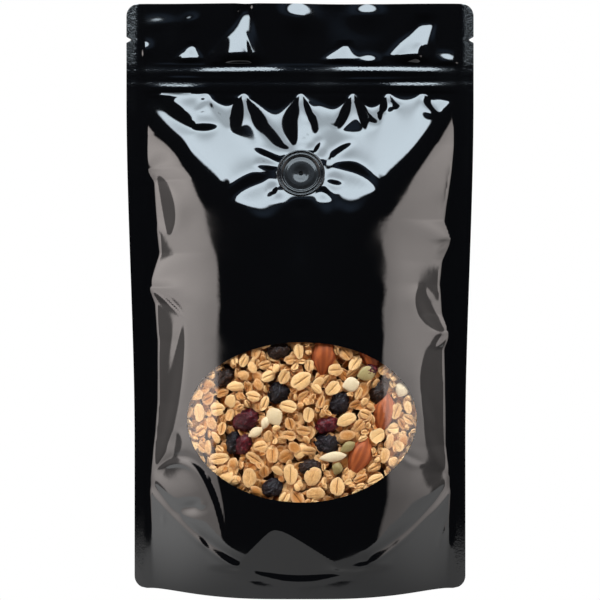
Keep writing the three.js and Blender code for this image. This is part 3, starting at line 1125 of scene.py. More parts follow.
def add_hollow(skin, rim):
    """The edge of the film, its inner face around the window, and the hollow's walls."""
    angles = np.array([angle_in_oval(skin, point) for point in rim])
    rings = [np.array(rim)]
    for share, margin, depth in HOLLOW_RINGS:
        x = WINDOW_AT[0] + share * (WINDOW_HALF_WIDTH + margin) * np.cos(angles)
        z = WINDOW_AT[1] + share * (WINDOW_HALF_HEIGHT + margin) * np.sin(angles)
        rings.append(skin.add_grid(x, front(x, z) + depth, z))
    loops = np.stack([np.append(ring, ring[0]) for ring in rings])
    skin.quads(loops)
    x, z = WINDOW_AT
    middle = skin.add(x, front_at(x, z) + HOLLOW_DEPTH, z)
    for a, b in zip(loops[-1][:-1], loops[-1][1:]):
        skin.faces.append([int(a), int(b), middle])


# %% [markdown]
# ### The mouth, the skirts and the gusset
#
# The mouth is open above the zip, so from above two thin films show with a slit between
# them. Under the pouch the front and back skirts stand on the table, and the gusset
# arches between them up to the curved seams.

# %% Mouth and underside
MOUTH_FLOOR = 259.0
MOUTH_STEPS = 12
LINER_THICKNESS = 0.25
SKIRT_THICKNESS = 0.45
SKIRT_STEPS = 8
GUSSET_STEPS = 14
GUSSET_SAG = 4.0
GUSSET_REACH = 74.8
GUSSET_PINCH = 12.0  # mm over which the skirts come together at its ends
GUSSET_BELOW_SEAM = 1.0
GUSSET_CLEARANCE = 0.25  # above the table
MOUTH_FADE = 0.08
CLOSED = 1e-6


def add_mouth(skin, front_top, back_top):
    """A slit that narrows to nothing at the side seals and at its floor."""
    columns = np.arange(FIRST_BAG, LAST_BAG + 1)
    x = GRID_X[-1, columns]
    spread = from_seal(x, np.full_like(x, HEIGHT), MOUTH_FADE)
    walls = {"front": [], "back": []}
    for step in range(MOUTH_STEPS + 1):
        z = np.full_like(x, HEIGHT - (HEIGHT - MOUTH_FLOOR) * step / MOUTH_STEPS)
        middle = (front(x, z) + back(x, z)) / 2
        room = (back(x, z) - front(x, z)) / 2 - LINER_THICKNESS
        gap = np.maximum(room, 0) * spread * (1 - step / MOUTH_STEPS) ** 0.5
        ids = skin.add_grid(x, middle - gap, z)
        walls["front"].append(ids)
        closed = gap < CLOSED
        twins = skin.add_grid(x, middle + gap, z)
        walls["back"].append(np.where(closed, ids, twins))
    front_wall, back_wall = np.stack(walls["front"]), np.stack(walls["back"])
    skin.quads(np.stack([front_top[columns], front_wall[0]]))
    skin.quads(front_wall)
    skin.quads(back_wall, flip=True)
    skin.quads(np.stack([back_top[columns], back_wall[0]]), flip=True)
    for side in (np.arange(0, FIRST_BAG), np.arange(LAST_BAG, COLUMN_COUNT - 1)):
        for c in side:
            left, right = int(c), int(c) + 1
            loop = [front_top[left], front_top[right]]
            if right == FIRST_BAG:
                loop.append(front_wall[0][0])
            loop += [back_top[right], back_top[left]]
            if left == LAST_BAG:
                loop.append(front_wall[0][-1])
            skin.faces.append([int(p) for p in loop])


def add_underside(skin, front_foot, back_foot):
    """The skirts' edges and inner faces, and the gusset between them."""
    x = GRID_X[0]
    inside = np.where(np.abs(x) <= GUSSET_REACH)[0]
    first, last = inside[0] - 1, inside[-1] + 1
    columns = np.arange(first, last + 1)
    x = np.clip(x[columns], -GUSSET_REACH, GUSSET_REACH)
    pinch = smooth((GUSSET_REACH - np.abs(x)) / GUSSET_PINCH)
    top = seam_height(x) - GUSSET_BELOW_SEAM
    rings = []
    for step in range(SKIRT_STEPS + 1):
        z = top * step / SKIRT_STEPS
        y = (front(x, z) + SKIRT_THICKNESS) * pinch
        rings.append((y, z))
    for step in range(1, GUSSET_STEPS):
        share = -1 + 2 * step / GUSSET_STEPS
        middle = -GUSSET_SAG + (SEAM_HIGH + GUSSET_SAG) * (x / SEAM_HALF_WIDTH) ** 2
        z = np.maximum(middle + (top - middle) * share**2, GUSSET_CLEARANCE)
        reach = np.where(share < 0, front(x, top) + SKIRT_THICKNESS,
                         SKIRT_THICKNESS - back(x, top))
        rings.append((np.abs(reach) * share * pinch, np.minimum(z, top)))
    for step in range(SKIRT_STEPS, -1, -1):
        z = top * step / SKIRT_STEPS
        y = (back(x, z) - SKIRT_THICKNESS) * pinch
        rings.append((y, z))
    ids = np.stack([skin.add_grid(x, y, z) for y, z in rings])
    for column in (0, -1):
        # At its two ends the gusset is shut, so points at one height are the same point.
        at_height = {}
        for row, (_, z) in enumerate(rings):
            height = round(float(z[column]), 4)
            ids[row, column] = at_height.setdefault(height, int(ids[row, column]))
    skin.quads(np.stack([ids[0], front_foot[columns]]))
    skin.quads(ids[::-1])
    skin.quads(np.stack([back_foot[columns], ids[-1]]))
    for start, stop in ((0, first), (last, COLUMN_COUNT - 1)):
        for c in range(start, stop):
            loop = [front_foot[c], back_foot[c], back_foot[c + 1], front_foot[c + 1]]
            if c + 1 == first:
                loop.insert(3, ids[0, 0])
            if c == last:
                loop.insert(1, ids[0, -1])
            skin.faces.append([int(p) for p in loop])


# %% Building the skin
def build_skin():
    skin = Skin()
    front_grid = skin.add_grid(GRID_X, FRONT_Y, GRID_Z)
    back_grid = skin.add_grid(GRID_X, BACK_Y, GRID_Z)
    rim = cut_window(skin, front_grid)
    add_hollow(skin, rim)
    front_faces = len(skin.faces)
    skin.quads(back_grid, flip=True)
    left = np.stack([back_grid[:, 0], front_grid[:, 0]], axis=1)
    right = np.stack([front_grid[:, -1], back_grid[:, -1]], axis=1)
    skin.quads(left)
    skin.quads(right)
    add_mouth(skin, front_grid[-1], back_grid[-1])
    add_underside(skin, front_grid[0], back_grid[0])
    return skin.part(0, front_faces), skin.part(front_faces)


# %% [markdown]
# ### The film's finish
#
# Black gloss film: a black base under a clear, hard surface. The side seals and the
# zip's welds are embossed with a fine grain that breaks up the mirror, so they get more
# roughness and a grainy bump. The rest has only the faint waviness of a laminate.

# %% Black gloss film
FILM_BLACK = (0.002, 0.002, 0.0023)
FILM_IOR = 1.54
MIRROR_ROUGHNESS = 0.035
SMUDGE_ROUGHNESS = 0.1
GRAIN_ROUGHNESS = 0.26
WAVINESS_HEIGHT = 0.000008  # in metres, as for every height of a bump
GRAIN_HEIGHT = 0.0004


def film_varies(wire):
    grain = wire.attribute("emboss")
    waviness = wire.noise(330, 1.0) * WAVINESS_HEIGHT
    pebble = wire.noise(1300, 2.0) * GRAIN_HEIGHT
    smudge = wire.noise(35, 3.0).step(0.35, 0.75)
    smooth_film = MIRROR_ROUGHNESS + SMUDGE_ROUGHNESS * smudge * smudge
    return {
        "Roughness": smooth_film + GRAIN_ROUGHNESS * grain,
        "Normal": (waviness + pebble * grain).bump(),
    }


black_film = finish(
    "black_gloss_film", {"Base Color": FILM_BLACK, "IOR": FILM_IOR}, film_varies)


def set_attribute(piece, name, values):
    attribute = piece.data.attributes.new(name, "FLOAT", "POINT")
    attribute.data.foreach_set("value", np.asarray(values, dtype=np.float32))


# Height and half width of the two bands in which the zip is welded in.
WELDS = [(253.2, 1.8), (246.8, 1.3)]
WELD_GRAIN = 0.3
SEAL_GRAIN = 0.2
HEADER_SEAL_GRAIN = 0.5  # and how much more above the zip


def emboss_amount(x, z):
    """How much grain: most on the side seals above the zip, less below it and on welds."""
    seal = smooth((np.abs(x) - bag_half_width(z)) / 0.8)
    header = smooth((z - 254) / 3)
    edge_seals = seal * (SEAL_GRAIN + HEADER_SEAL_GRAIN * header)
    welds = sum(bell(z - height, width) for height, width in WELDS)
    return np.clip(edge_seals + WELD_GRAIN * welds * (z > ZIP_BOTTOM), 0, 1)


for name, skin in zip(("front_film", "back_film_and_gusset"), build_skin()):
    film = skin.piece(name, black_film, sharp=50)
    points = np.array(skin.points) / MM
    set_attribute(film, "emboss", emboss_amount(points[:, 0], points[:, 2]))
    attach(film, "root")
    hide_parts("pouch")
    print(name, len(film.data.polygons), "faces")

# %% [markdown]
# ## The clear window
#
# Clear film adds nothing but its mirror: we see straight through it, and near its ends
# it picks up the side lamps as a pale haze. A refracting glass shader would be slow and
# would shade the muesli, so a plain mix is used: transparent, with a gloss that follows
# the Fresnel law.

# %% Clear film
CLEAR_TINT = (0.98, 0.98, 0.98)
CLEAR_ROUGHNESS = 0.04
CLEAR_WAVINESS_HEIGHT = 0.00008


def clear_film_finish():
    material = bpy.data.materials.new("clear_window_film")
    material.use_nodes = True
    tree = material.node_tree
    tree.nodes.clear()
    wire = Wire(tree)
    bump = (wire.noise(180, 1.0) * CLEAR_WAVINESS_HEIGHT).bump()
    clear = wire.node("BsdfTransparent", None, {"Color": CLEAR_TINT})
    gloss = wire.node("BsdfGlossy", None,
                      {"Color": WHITE, "Roughness": CLEAR_ROUGHNESS, "Normal": bump})
    fresnel = wire.node("Fresnel", None, {"IOR": FILM_IOR, "Normal": bump})
    outward = 1 - wire.node("NewGeometry", output="Backfacing")
    both = wire.node("MixShader", None, {0: fresnel * outward, 1: clear, 2: gloss})
    output = tree.nodes.new("ShaderNodeOutputMaterial")
    wire.plug(both, output.inputs["Surface"])
    return material


# %% The clear oval's mesh
WINDOW_RINGS = 48
WINDOW_SPOKES = 192
WINDOW_GAP = 0.02  # mm between the clear film and the print's edge
FIRST_RING = 0.02  # the innermost ring, as a share of the oval


def oval_rings(half_width, half_height, rings, spokes):
    """Places on rings from near the window's middle out to an oval round it."""
    angle = np.linspace(0, 2 * math.pi, spokes, endpoint=False)
    share = np.linspace(FIRST_RING, 1, rings)[:, None]
    x = WINDOW_AT[0] + share * half_width * np.cos(angle)
    z = WINDOW_AT[1] + share * half_height * np.sin(angle)
    return x, z


def add_plate(skin, loops):
    """The faces of a front and a back sheet of rings, and the edge that joins them."""
    skin.quads(loops[0], flip=True)
    skin.quads(loops[1])
    skin.quads(np.stack([loops[0][-1], loops[1][-1]]), flip=True)


def closed_rings(grid):
    return np.concatenate([grid, grid[:, :1]], axis=1)


def build_window():
    skin = Skin()
    x, z = oval_rings(WINDOW_HALF_WIDTH - WINDOW_GAP, WINDOW_HALF_HEIGHT - WINDOW_GAP,
                      WINDOW_RINGS, WINDOW_SPOKES)
    loops = []
    for depth, flip in ((WINDOW_GAP / 2, False), (FILM_THICKNESS - WINDOW_GAP, True)):
        loops.append(closed_rings(skin.add_grid(x, front(x, z) + depth, z)))
        middle = skin.add(WINDOW_AT[0], front_at(*WINDOW_AT) + depth, WINDOW_AT[1])
        ring = loops[-1][0]
        for a, b in zip(ring[:-1], ring[1:]):
            spoke = [int(a), int(b), middle]
            skin.faces.append(spoke[::-1] if flip else spoke)
    add_plate(skin, loops)
    return skin


window_piece = build_window().piece("clear_window", clear_film_finish(), sharp=50)
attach(window_piece, "root")
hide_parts("window_film")
print("window faces", len(window_piece.data.polygons))

# %% [markdown]
# ## The one-way valve
#
# The valve is a turned shape: a raised rim, a groove, an inner ring, and a dished face
# with a small vent. Its profile is spun around its axis, with every edge rounded a
# little, because on black plastic the edges are all that catches light. The disc leans
# less than the film under it, or it would mirror the top lamp all over.

# %% Valve profile: radius and height above its underside
VALVE_PROFILE = [
    (0.0, 0.17), (0.85, 0.17), (0.9, 0.2), (0.95, 0.5), (1.15, 0.62), (1.75, 0.64),
    (2.4, 0.76), (3.2, 1.0), (3.9, 1.14), (4.8, 1.2), (6.0, 1.2), (6.7, 1.13),
    (7.2, 0.98), (7.7, 0.84), (8.2, 0.8), (8.55, 0.88), (8.8, 1.2), (9.0, 1.52),
    (9.25, 1.66), (9.6, 1.64), (9.8, 1.45), (9.9, 1.2), (10.1, 1.12), (10.35, 1.15),
    (10.5, 1.4), (10.65, 1.72), (10.9, 1.84), (11.15, 1.8), (11.38, 1.64), (11.5, 1.4),
    (11.5, 0.6), (11.5, -1.2),
]
VALVE_SEGMENTS = 128
VALVE_SINK = 0.08
VALVE_SLOPE = 0.215
FACE_RADIUS = 8.6
VENT_RADIUS = 1.0
RIM_BLACK = (0.004, 0.004, 0.0045)
FACE_BLACK = (0.009, 0.0093, 0.01)
RIM_COAT = 0.9
FACE_COAT = 0.4
FACE_GRAIN_HEIGHT = 0.00009


def valve_varies(wire):
    """dished_face is 0 on the rim, 1 on the face and more in the vent."""
    face = wire.attribute("dished_face")
    vent = face.step(1.2, 1.6)
    return {
        # The vent is painted pure black: painted shade for the dark inside the small hole.
        "Base Color": vent.mix(face.mix(RIM_BLACK, FACE_BLACK), (0, 0, 0)),
        "Coat Weight": RIM_COAT - (RIM_COAT - FACE_COAT) * face,
        "Normal": (wire.noise(2600, 2.0) * FACE_GRAIN_HEIGHT * face).bump(),
    }


valve_plastic = finish(
    "valve_plastic",
    {"Roughness": 0.42, "Specular IOR Level": 0.05, "Coat Roughness": 0.11},
    valve_varies,
)


def build_valve():
    skin = Skin()
    out = Vector((SEAT_TURN, -1, VALVE_SLOPE)).normalized()
    right = Vector((1, SEAT_TURN, 0)).normalized()
    up = right.cross(out)
    seat = Vector((VALVE_AT[0], VALVE_DEPTH, VALVE_AT[1])) - out * VALVE_SINK
    rings = []
    for radius, height in VALVE_PROFILE[1:]:
        ring = []
        for i in range(VALVE_SEGMENTS):
            turn = 2 * math.pi * i / VALVE_SEGMENTS
            place = seat + out * height
            place += radius * (math.cos(turn) * right + math.sin(turn) * up)
            ring.append(skin.add(*place))
        rings.append(ring + ring[:1])
    skin.quads(np.array(rings))
    centre = skin.add(*(seat + out * VALVE_PROFILE[0][1]))
    base = skin.add(*seat)
    for a, b in zip(rings[0][:-1], rings[0][1:]):
        skin.faces.append([centre, a, b])
    for a, b in zip(rings[-1][:-1], rings[-1][1:]):
        skin.faces.append([base, b, a])
    return skin


valve_disc = build_valve().piece("valve_disc", valve_plastic, sharp=60)
radii = np.array([p[0] for p in VALVE_PROFILE[1:] for _ in range(VALVE_SEGMENTS)] + [0, 0])
# The vent's higher value marks where the finish paints black, as painted shade.
dished_face = 1.0 * (radii < FACE_RADIUS) + 0.8 * (radii < VENT_RADIUS)
set_attribute(valve_disc, "dished_face", dished_face)
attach(valve_disc, "root")
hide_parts("valve")
print("valve faces", len(valve_disc.data.polygons))

# %% [markdown]
# ## The muesli behind the window
#
# Loose food reads as loose only when every piece lies on others in its own way. Placing
# them at random makes them cut through each other, and a rigid body simulation of a
# thousand flakes is slow. Here each piece is dropped from the film's side onto a height
# map of the heap: it moves towards the back until it touches what is already there, and
# it is left out when it would then stand too near to the film.
#
# The heap reaches further than the window on all sides, so the edge of the print crops
# the pieces as it does on a real pack.

# %% A height map of the heap, just behind the film
CELL = 0.8
HEAP_MARGIN = 6.3
MAP_MARGIN = 8.0
CORE_DEPTH = 7.6
BEHIND_FILM = FILM_THICKNESS + 0.15
SEED = 11
HEAP_HALF_WIDTH = WINDOW_HALF_WIDTH + HEAP_MARGIN
HEAP_HALF_HEIGHT = WINDOW_HALF_HEIGHT + HEAP_MARGIN


def cell_places(half_size, middle):
    return np.arange(-half_size - MAP_MARGIN, half_size + MAP_MARGIN, CELL) + middle


cell_x = cell_places(HEAP_HALF_WIDTH, WINDOW_AT[0])
cell_z = cell_places(HEAP_HALF_HEIGHT, WINDOW_AT[1])
CELL_X, CELL_Z = np.meshgrid(cell_x, cell_z, indexing="ij")
FILM_Y = front(CELL_X, CELL_Z)
heap_top = FILM_Y + CORE_DEPTH + 0.6 * np.sin(CELL_X / 2.3) * np.cos(CELL_Z / 2.7)
kept_clear = np.zeros(heap_top.shape, bool)
# Both sources of chance start the same on every run, so the heap does too. Blender's
# noise module would otherwise start from the clock.
chance = random.Random(SEED)
noise.seed_set(SEED)
print("cells of the map:", heap_top.shape)


# %% Placing a piece on the map
SETTLE = 0.12  # the share of a piece that sinks in among the others


def cells_of(points):
    column = ((points[:, 0] - cell_x[0]) / CELL + 0.5).astype(int)
    row = ((points[:, 2] - cell_z[0]) / CELL + 0.5).astype(int)
    return np.clip(column, 0, len(cell_x) - 1), np.clip(row, 0, len(cell_z) - 1)


def film_near(x, z):
    """The film's depth from the map, which is quicker than working it out again."""
    column, row = cells_of(np.array([[x, 0.0, z]]))
    return float(FILM_Y[column[0], row[0]])


def film_axes(x, z, reach=6.0):
    """Right, up and outward along the film at (x, z)."""
    across = (film_near(x + reach, z) - film_near(x - reach, z)) / (2 * reach)
    upward = (film_near(x, z + reach) - film_near(x, z - reach)) / (2 * reach)
    right = Vector((1, across, 0)).normalized()
    up = Vector((0, upward, 1)).normalized()
    out = right.cross(up).normalized()
    return np.array(Matrix((right, out.cross(right), out)).transposed())


def turned(points, x, z, turn, lean=(0.0, 0.0)):
    """A piece made flat, turned in the film's plane, leaned, and moved over (x, z)."""
    spin = Matrix.Rotation(math.radians(lean[0]), 3, "X")
    spin = spin @ Matrix.Rotation(math.radians(lean[1]), 3, "Y")
    spin = spin @ Matrix.Rotation(math.radians(turn), 3, "Z")
    moved = points @ (film_axes(x, z) @ np.array(spin)).T
    return moved + np.array([x, 0.0, z])


def rest(points, least_depth):
    """Drop a piece onto the heap. None when it would come nearer to the film than that."""
    column, row = cells_of(points)
    if kept_clear[column, row].any():
        return None
    gaps = heap_top[column, row] - points[:, 1]
    sinking = int(SETTLE * len(gaps))
    shift = np.partition(gaps, sinking)[sinking]
    points = points + np.array([0.0, shift, 0.0])
    if (points[:, 1] - FILM_Y[column, row]).min() < least_depth:
        return None
    np.minimum.at(heap_top, (column, row), points[:, 1])
    return points


def keep_clear(points, share):
    """Let no later piece cover the middle of this one."""
    middle = points.mean(axis=0)
    column, row = cells_of(middle + share * (points - middle))
    kept_clear[column, row] = True


def press(points, depth, clear):
    """Put a piece close behind the film, and keep its middle clear of flakes."""
    column, row = cells_of(points)
    shift = (FILM_Y[column, row] + depth - points[:, 1]).max()
    points = points + np.array([0.0, shift, 0.0])
    np.minimum.at(heap_top, (column, row), points[:, 1])
    keep_clear(points, clear)
    return points


# %% [markdown]
# ### Oat flakes
#
# A rolled oat is a grain that was steamed and pressed: a thin oval a few millimetres
# long, with a crease along it, a paler rim, and an edge with cracks. Each flake is two
# discs of rings and spokes, one above the other, that are bent together.
#
# The crease is much finer than the mesh. So each point also carries its place in the
# flake, along it, across it and towards its rim, and the finish draws the crease's dark
# line from those. That line is partly the oat's own darker seam and partly painted
# shade, and it is drawn bolder where the crease is deeper.

# %% One flake
# Rings of the upper disc and of the lower one, and the number of spokes.
FINE_FLAKE = ((0.03, 0.22, 0.42, 0.6, 0.76, 0.88, 0.96, 1.0), (0.03, 0.4, 0.72, 0.92, 1.0), 24)
COARSE_FLAKE = ((0.03, 0.45, 0.8, 1.0), (0.03, 0.7, 1.0), 16)
EDGE_WAVES = (2, 3, 5, 7)
RAGGED = 0.1
MOST_CRACKS = 3
CRACK_WIDTH = 0.17
CREASE_DEPTHS = (0.1, 0.3, 0.4)
CREASE_WIDTH = 0.35
EDGE_THICKNESS = 0.1


def disc_faces(top, under, spokes):
    """Faces of an upper and a lower disc whose outer rings are joined."""
    faces = []
    first = 0
    for rings, flip in ((top, False), (under, True)):
        for r in range(len(rings) - 1):
            inner, outer = first + r * spokes, first + (r + 1) * spokes
            for s in range(spokes):
                t = (s + 1) % spokes
                quad = [inner + s, outer + s, outer + t, inner + t]
                faces.append(quad[::-1] if flip else quad)
        first += len(rings) * spokes
    top_edge, under_edge = (len(top) - 1) * spokes, first - spokes
    for s in range(spokes):
        t = (s + 1) % spokes
        faces.append([top_edge + s, under_edge + s, under_edge + t, top_edge + t])
    return faces


def any_turn():
    return chance.uniform(0, 6.28)


def ragged(angle):
    edge = np.ones_like(angle)
    for turns in EDGE_WAVES:
        edge += RAGGED / turns * np.sin(turns * angle + any_turn())
    return edge


def cracks(angle):
    edge = np.zeros_like(angle)
    for _ in range(chance.randint(1, MOST_CRACKS)):
        from_crack = np.angle(np.exp(1j * (angle - any_turn())))
        edge += chance.uniform(0.06, 0.24) * bell(from_crack, CRACK_WIDTH)
    return edge


def oat_flake(size, top, under, spokes):
    """Points of a flake, and each one's marks: along, across, to the rim, and how bold
    the crease is."""
    length = size * chance.uniform(2.9, 4.6)
    width = length * chance.uniform(0.58, 0.84)
    thick = chance.uniform(0.3, 0.5)
    angle = np.linspace(0, 2 * math.pi, spokes, endpoint=False)
    edge = ragged(angle) - cracks(angle)
    curl = chance.uniform(-0.5, 0.7), chance.uniform(-0.5, 0.8), chance.uniform(-0.6, 0.6)
    crease_depth = chance.choice(CREASE_DEPTHS)
    points, marks = [], []
    for rings, side in ((top, 1), (under, -1)):
        ring = np.array(rings)[:, None]
        u = length * ring * edge * np.cos(angle)
        v = width * ring * edge * np.sin(angle)
        bend = curl[0] * (u / length) ** 2 + curl[1] * (v / width) ** 2
        bend = bend + curl[2] * u * v / (length * width)
        swell = side * (thick * (1 - ring**2.5) ** 0.8 + EDGE_THICKNESS)
        if side > 0:
            lobes = 0.25 * thick * bell(np.abs(v) - 0.45 * width, 0.3 * width)
            dip = crease_depth * bell(v, CREASE_WIDTH) * (1 - ring**4)
            swell = swell + lobes * (1 - ring**3) - dip
        points.append(np.stack([u, v, bend + swell], axis=-1).reshape(-1, 3))
        # A deeper crease gets a bolder dark line: partly the oat's own seam and partly painted
        # shade.
        bold = np.full(u.shape, min(1.0, 2.6 * crease_depth) if side > 0 else 0.0)
        rim = np.broadcast_to(ring, u.shape)
        marks.append(np.stack([u, v, rim, bold], axis=-1).reshape(-1, 4))
    marks = np.concatenate(marks)
    return np.concatenate(points), dict(zip(("along", "across", "rim", "bold"), marks.T))


print("one flake:", len(disc_faces(*FINE_FLAKE)), "faces, coarse:",
      len(disc_faces(*COARSE_FLAKE)))

# %% [markdown]
# ### Nuts, seeds and dried fruit
#
# Almonds and seeds are turned shapes pressed flat: an outline along the length, swept
# round an oval. Dried fruit is a ball whose skin has shrunk into ridges. The ridges lie
# where a noise passes through its middle value, so a fine ball is pushed in where the
# noise is far from that value.

# %% Turned shapes and shrunken balls
GROOVES = 11  # round an almond


def turned_seed(outline, width, thickness, spokes=24):
    """A closed shape with its length along u. The outline is (share of length, radius)."""
    angle = np.linspace(0, 2 * math.pi, spokes, endpoint=False)
    rings = []
    for along, radius in outline:
        across = radius * width / 2 * np.cos(angle)
        out = radius * thickness / 2 * np.sin(angle)
        rings.append(np.stack([np.full(spokes, along), across, out], axis=-1))
    points = np.concatenate(rings)
    faces = []
    count = len(outline)
    for r in range(count - 1):
        for s in range(spokes):
            t = (s + 1) % spokes
            faces.append([r * spokes + s, r * spokes + t,
                          (r + 1) * spokes + t, (r + 1) * spokes + s])
    faces.append(list(range(spokes))[::-1])
    faces.append([(count - 1) * spokes + s for s in range(spokes)])
    return points, faces


def teardrop(length, point, steps=26):
    """An outline that is round at one end and pointed at the other."""
    stations = []
    for i in range(1, steps):
        t = 0.5 - 0.5 * math.cos(math.pi * i / steps)
        radius = math.sin(math.pi * t ** point) ** 0.72
        stations.append((length * (t - 0.5), radius))
    return stations


def grooved(points, depth):
    """Shallow grooves along the length, as on an almond's skin."""
    angle = np.arctan2(points[:, 2], points[:, 1])
    drift = 0.7 * np.sin(points[:, 0] / 3.1 + any_turn())
    ripple = np.sin(GROOVES * angle + drift)
    ripple = ripple + 0.6 * np.sin((GROOVES + 4) * angle - 2 * drift)
    points = points.copy()
    points[:, 1:] *= (1 + depth * ripple)[:, None]
    # The second value, how deep in a groove each point lies, is painted darker by the finish:
    # partly the skin's own streaks and partly painted shade.
    return points, np.clip(0.5 - 0.45 * ripple, 0, 1)


def ball(subdivisions):
    sphere = bmesh.new()
    bmesh.ops.create_icosphere(sphere, subdivisions=subdivisions, radius=1)
    points = np.array([tuple(v.co) for v in sphere.verts])
    faces = [[v.index for v in face.verts] for face in sphere.faces]
    sphere.free()
    return points, faces


BALL_POINTS, BALL_FACES = ball(4)


def shrunken(size, ridges, depth):
    """A dried fruit: points, and how deep in a furrow each one lies."""
    shift = Vector((chance.uniform(0, 50), chance.uniform(0, 50), chance.uniform(0, 50)))
    furrow = np.empty(len(BALL_POINTS))
    for i, point in enumerate(BALL_POINTS):
        place = Vector(point) * ridges + shift
        place += 0.8 * noise.noise_vector(place * 0.6)
        fine = abs(noise.noise(place)) + 0.4 * abs(noise.noise(place * 2.3))
        furrow[i] = min(1.0, 2.3 * fine)
    lumps = np.array([noise.noise(Vector(p) * 1.3 + shift) for p in BALL_POINTS])
    radius = 1 + 0.12 * lumps - depth * furrow
    # The finish paints the furrows darker, as painted shade.
    return BALL_POINTS * radius[:, None] * np.array(size), furrow


# %% A kind of food: its pieces joined in one mesh, with a tone for each piece
class Food:
    def __init__(self, name, material):
        self.name = name
        self.material = material
        self.skin = Skin()
        self.marks = {"tone": []}
        self.count = 0

    def lay(self, points, faces, tone, **marks):
        """Add a piece. Each mark is an attribute with a value for every point."""
        first = len(self.skin.points)
        self.skin.points.extend(map(tuple, points * MM))
        self.skin.faces.extend([[first + i for i in face] for face in faces])
        self.marks["tone"].extend([tone] * len(points))
        for name, values in marks.items():
            self.marks.setdefault(name, []).extend(values)
        self.count += 1

    def piece(self):
        made = self.skin.piece(self.name, self.material)
        for name, values in self.marks.items():
            set_attribute(made, name, values)
        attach(made, "root")
        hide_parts("muesli")
        triangles = sum(len(face) - 2 for face in self.skin.faces)
        print(self.name, self.count, "pieces,", triangles, "triangles")
        return made


# %% [markdown]
# ### Finishes for the food
#
# Each kind gets a colour that runs with the piece's own tone, is painted darker in its
# furrows, and is mottled by a noise. The dark of the furrows, and of the creases of the
# wrinkles, is painted shade on dried fruit. Toasted oats are matt with a faint glaze,
# almond skin is darker in its grooves along its length, partly its own streaks and partly
# painted shade, and dried fruit is dark with a soft shine on its ridges.

# %% Food finishes
FURROW_SHARE = 0.8
SPECK_SHARE = 0.35


def food_finish(name, dark, light, in_furrow, roughness, mottle=900, grain=0.00012,
                wrinkle=0.0):
    """Three colours, a roughness, the scale of the mottling, and heights in metres."""
    def varies(wire):
        tone = wire.attribute("tone")
        # The furrow colour is painted shade in the furrows of dried fruit. On almonds it is
        # partly the skin's own streaks and partly painted shade in the grooves.
        furrow = wire.attribute("furrow").step(0.15, 0.85) * FURROW_SHARE
        patches = wire.noise(mottle, 3.0, 0.6)
        base = (tone + 0.7 * (patches - 0.5)).step(0, 1).mix(dark, light)
        fine = wire.noise(3600, 3.0, 0.65)
        colour = furrow.mix(base, in_furrow)
        speck = (1 - fine.step(0.28, 0.42)) * SPECK_SHARE
        relief = fine * grain
        if wrinkle:
            from_wrinkle = abs(wire.noise(750, 2.0, 0.55) - 0.5)
            relief = relief + from_wrinkle * wrinkle
            # Dark lines along the creases of the wrinkle bump: painted shade.
            colour = (1 - from_wrinkle.step(0.0, 0.06)).mix(colour, in_furrow)
        return {
            "Base Color": speck.mix(colour, in_furrow),
            "Roughness": roughness + 0.25 * (fine - 0.5),
            "Normal": relief.bump(),
        }

    return finish(name, {"Specular IOR Level": 0.3}, varies)


# %% The oats' finish, with the crease drawn from each point's place
OAT_LIGHT = (0.97, 0.565, 0.23)
OAT_DARK = (0.58, 0.215, 0.045)
OAT_RIM = (0.93, 0.64, 0.34)
OAT_CREASE = (0.26, 0.085, 0.02)
CREASE_SHARE = 0.7
RIM_SHARE = 0.35


def oat_varies(wire):
    along, across = wire.attribute("along"), wire.attribute("across")
    tone, rim = wire.attribute("tone"), wire.attribute("rim")
    place = wire.node("CombineXYZ", None, {"X": along * 0.3, "Y": across, "Z": tone * 40})
    fibre = wire.noise(1.7, 3.0, 0.6, place)
    mottle = wire.noise(650, 3.0, 0.6)
    light = (tone + 0.8 * (mottle - 0.5) + 0.7 * (fibre - 0.5)).step(0, 1)
    body = (rim.step(0.5, 1.0) * RIM_SHARE).mix(light.mix(OAT_DARK, OAT_LIGHT), OAT_RIM)
    # The crease's dark line: partly the oat's own seam and partly painted shade.
    from_crease = abs(across + 0.6 * (wire.noise(300) - 0.5))
    crease = (1 - from_crease.step(0.05, 0.42)) * (1 - rim.step(0.6, 0.95))
    crease = crease * wire.attribute("bold")
    fine = wire.noise(3600, 3.0, 0.65)
    relief = fine * 0.0001 + fibre * 0.00025 - crease * 0.0002
    return {
        "Base Color": (crease * CREASE_SHARE).mix(body, OAT_CREASE),
        "Roughness": 0.5 + 0.25 * (fine - 0.5),
        "Normal": relief.bump(),
    }


oat_finish = finish("toasted_oat", {"Specular IOR Level": 0.3}, oat_varies)

# %% The other finishes: dark, light and furrow colours, roughness, and then the relief
almond_finish = food_finish(
    "almond_skin", (0.41, 0.086, 0.019), (0.7, 0.18, 0.046), (0.26, 0.05, 0.012), 0.5,
    mottle=500, grain=0.0001)
berry_finish = food_finish(
    "dark_berry", (0.013, 0.008, 0.011), (0.036, 0.021, 0.027), (0.003, 0.0015, 0.002), 0.36,
    mottle=400, grain=0.00005, wrinkle=0.0013)
cranberry_finish = food_finish(
    "dried_cranberry", (0.1, 0.007, 0.012), (0.24, 0.018, 0.022), (0.03, 0.002, 0.005), 0.3,
    mottle=300, grain=0.00004, wrinkle=0.0008)
raisin_finish = food_finish(
    "raisin", (0.03, 0.011, 0.006), (0.09, 0.032, 0.014), (0.01, 0.004, 0.002), 0.42,
    mottle=400, grain=0.00006, wrinkle=0.0012)
green_seed_finish = food_finish(
    "pumpkin_seed", (0.18, 0.12, 0.03), (0.5, 0.37, 0.16), (0.12, 0.08, 0.02), 0.45,
    mottle=400, grain=0.00006)
pale_seed_finish = food_finish(
    "pale_seed", (0.68, 0.46, 0.23), (0.88, 0.68, 0.43), (0.45, 0.26, 0.11), 0.5,
    mottle=400, grain=0.00005)

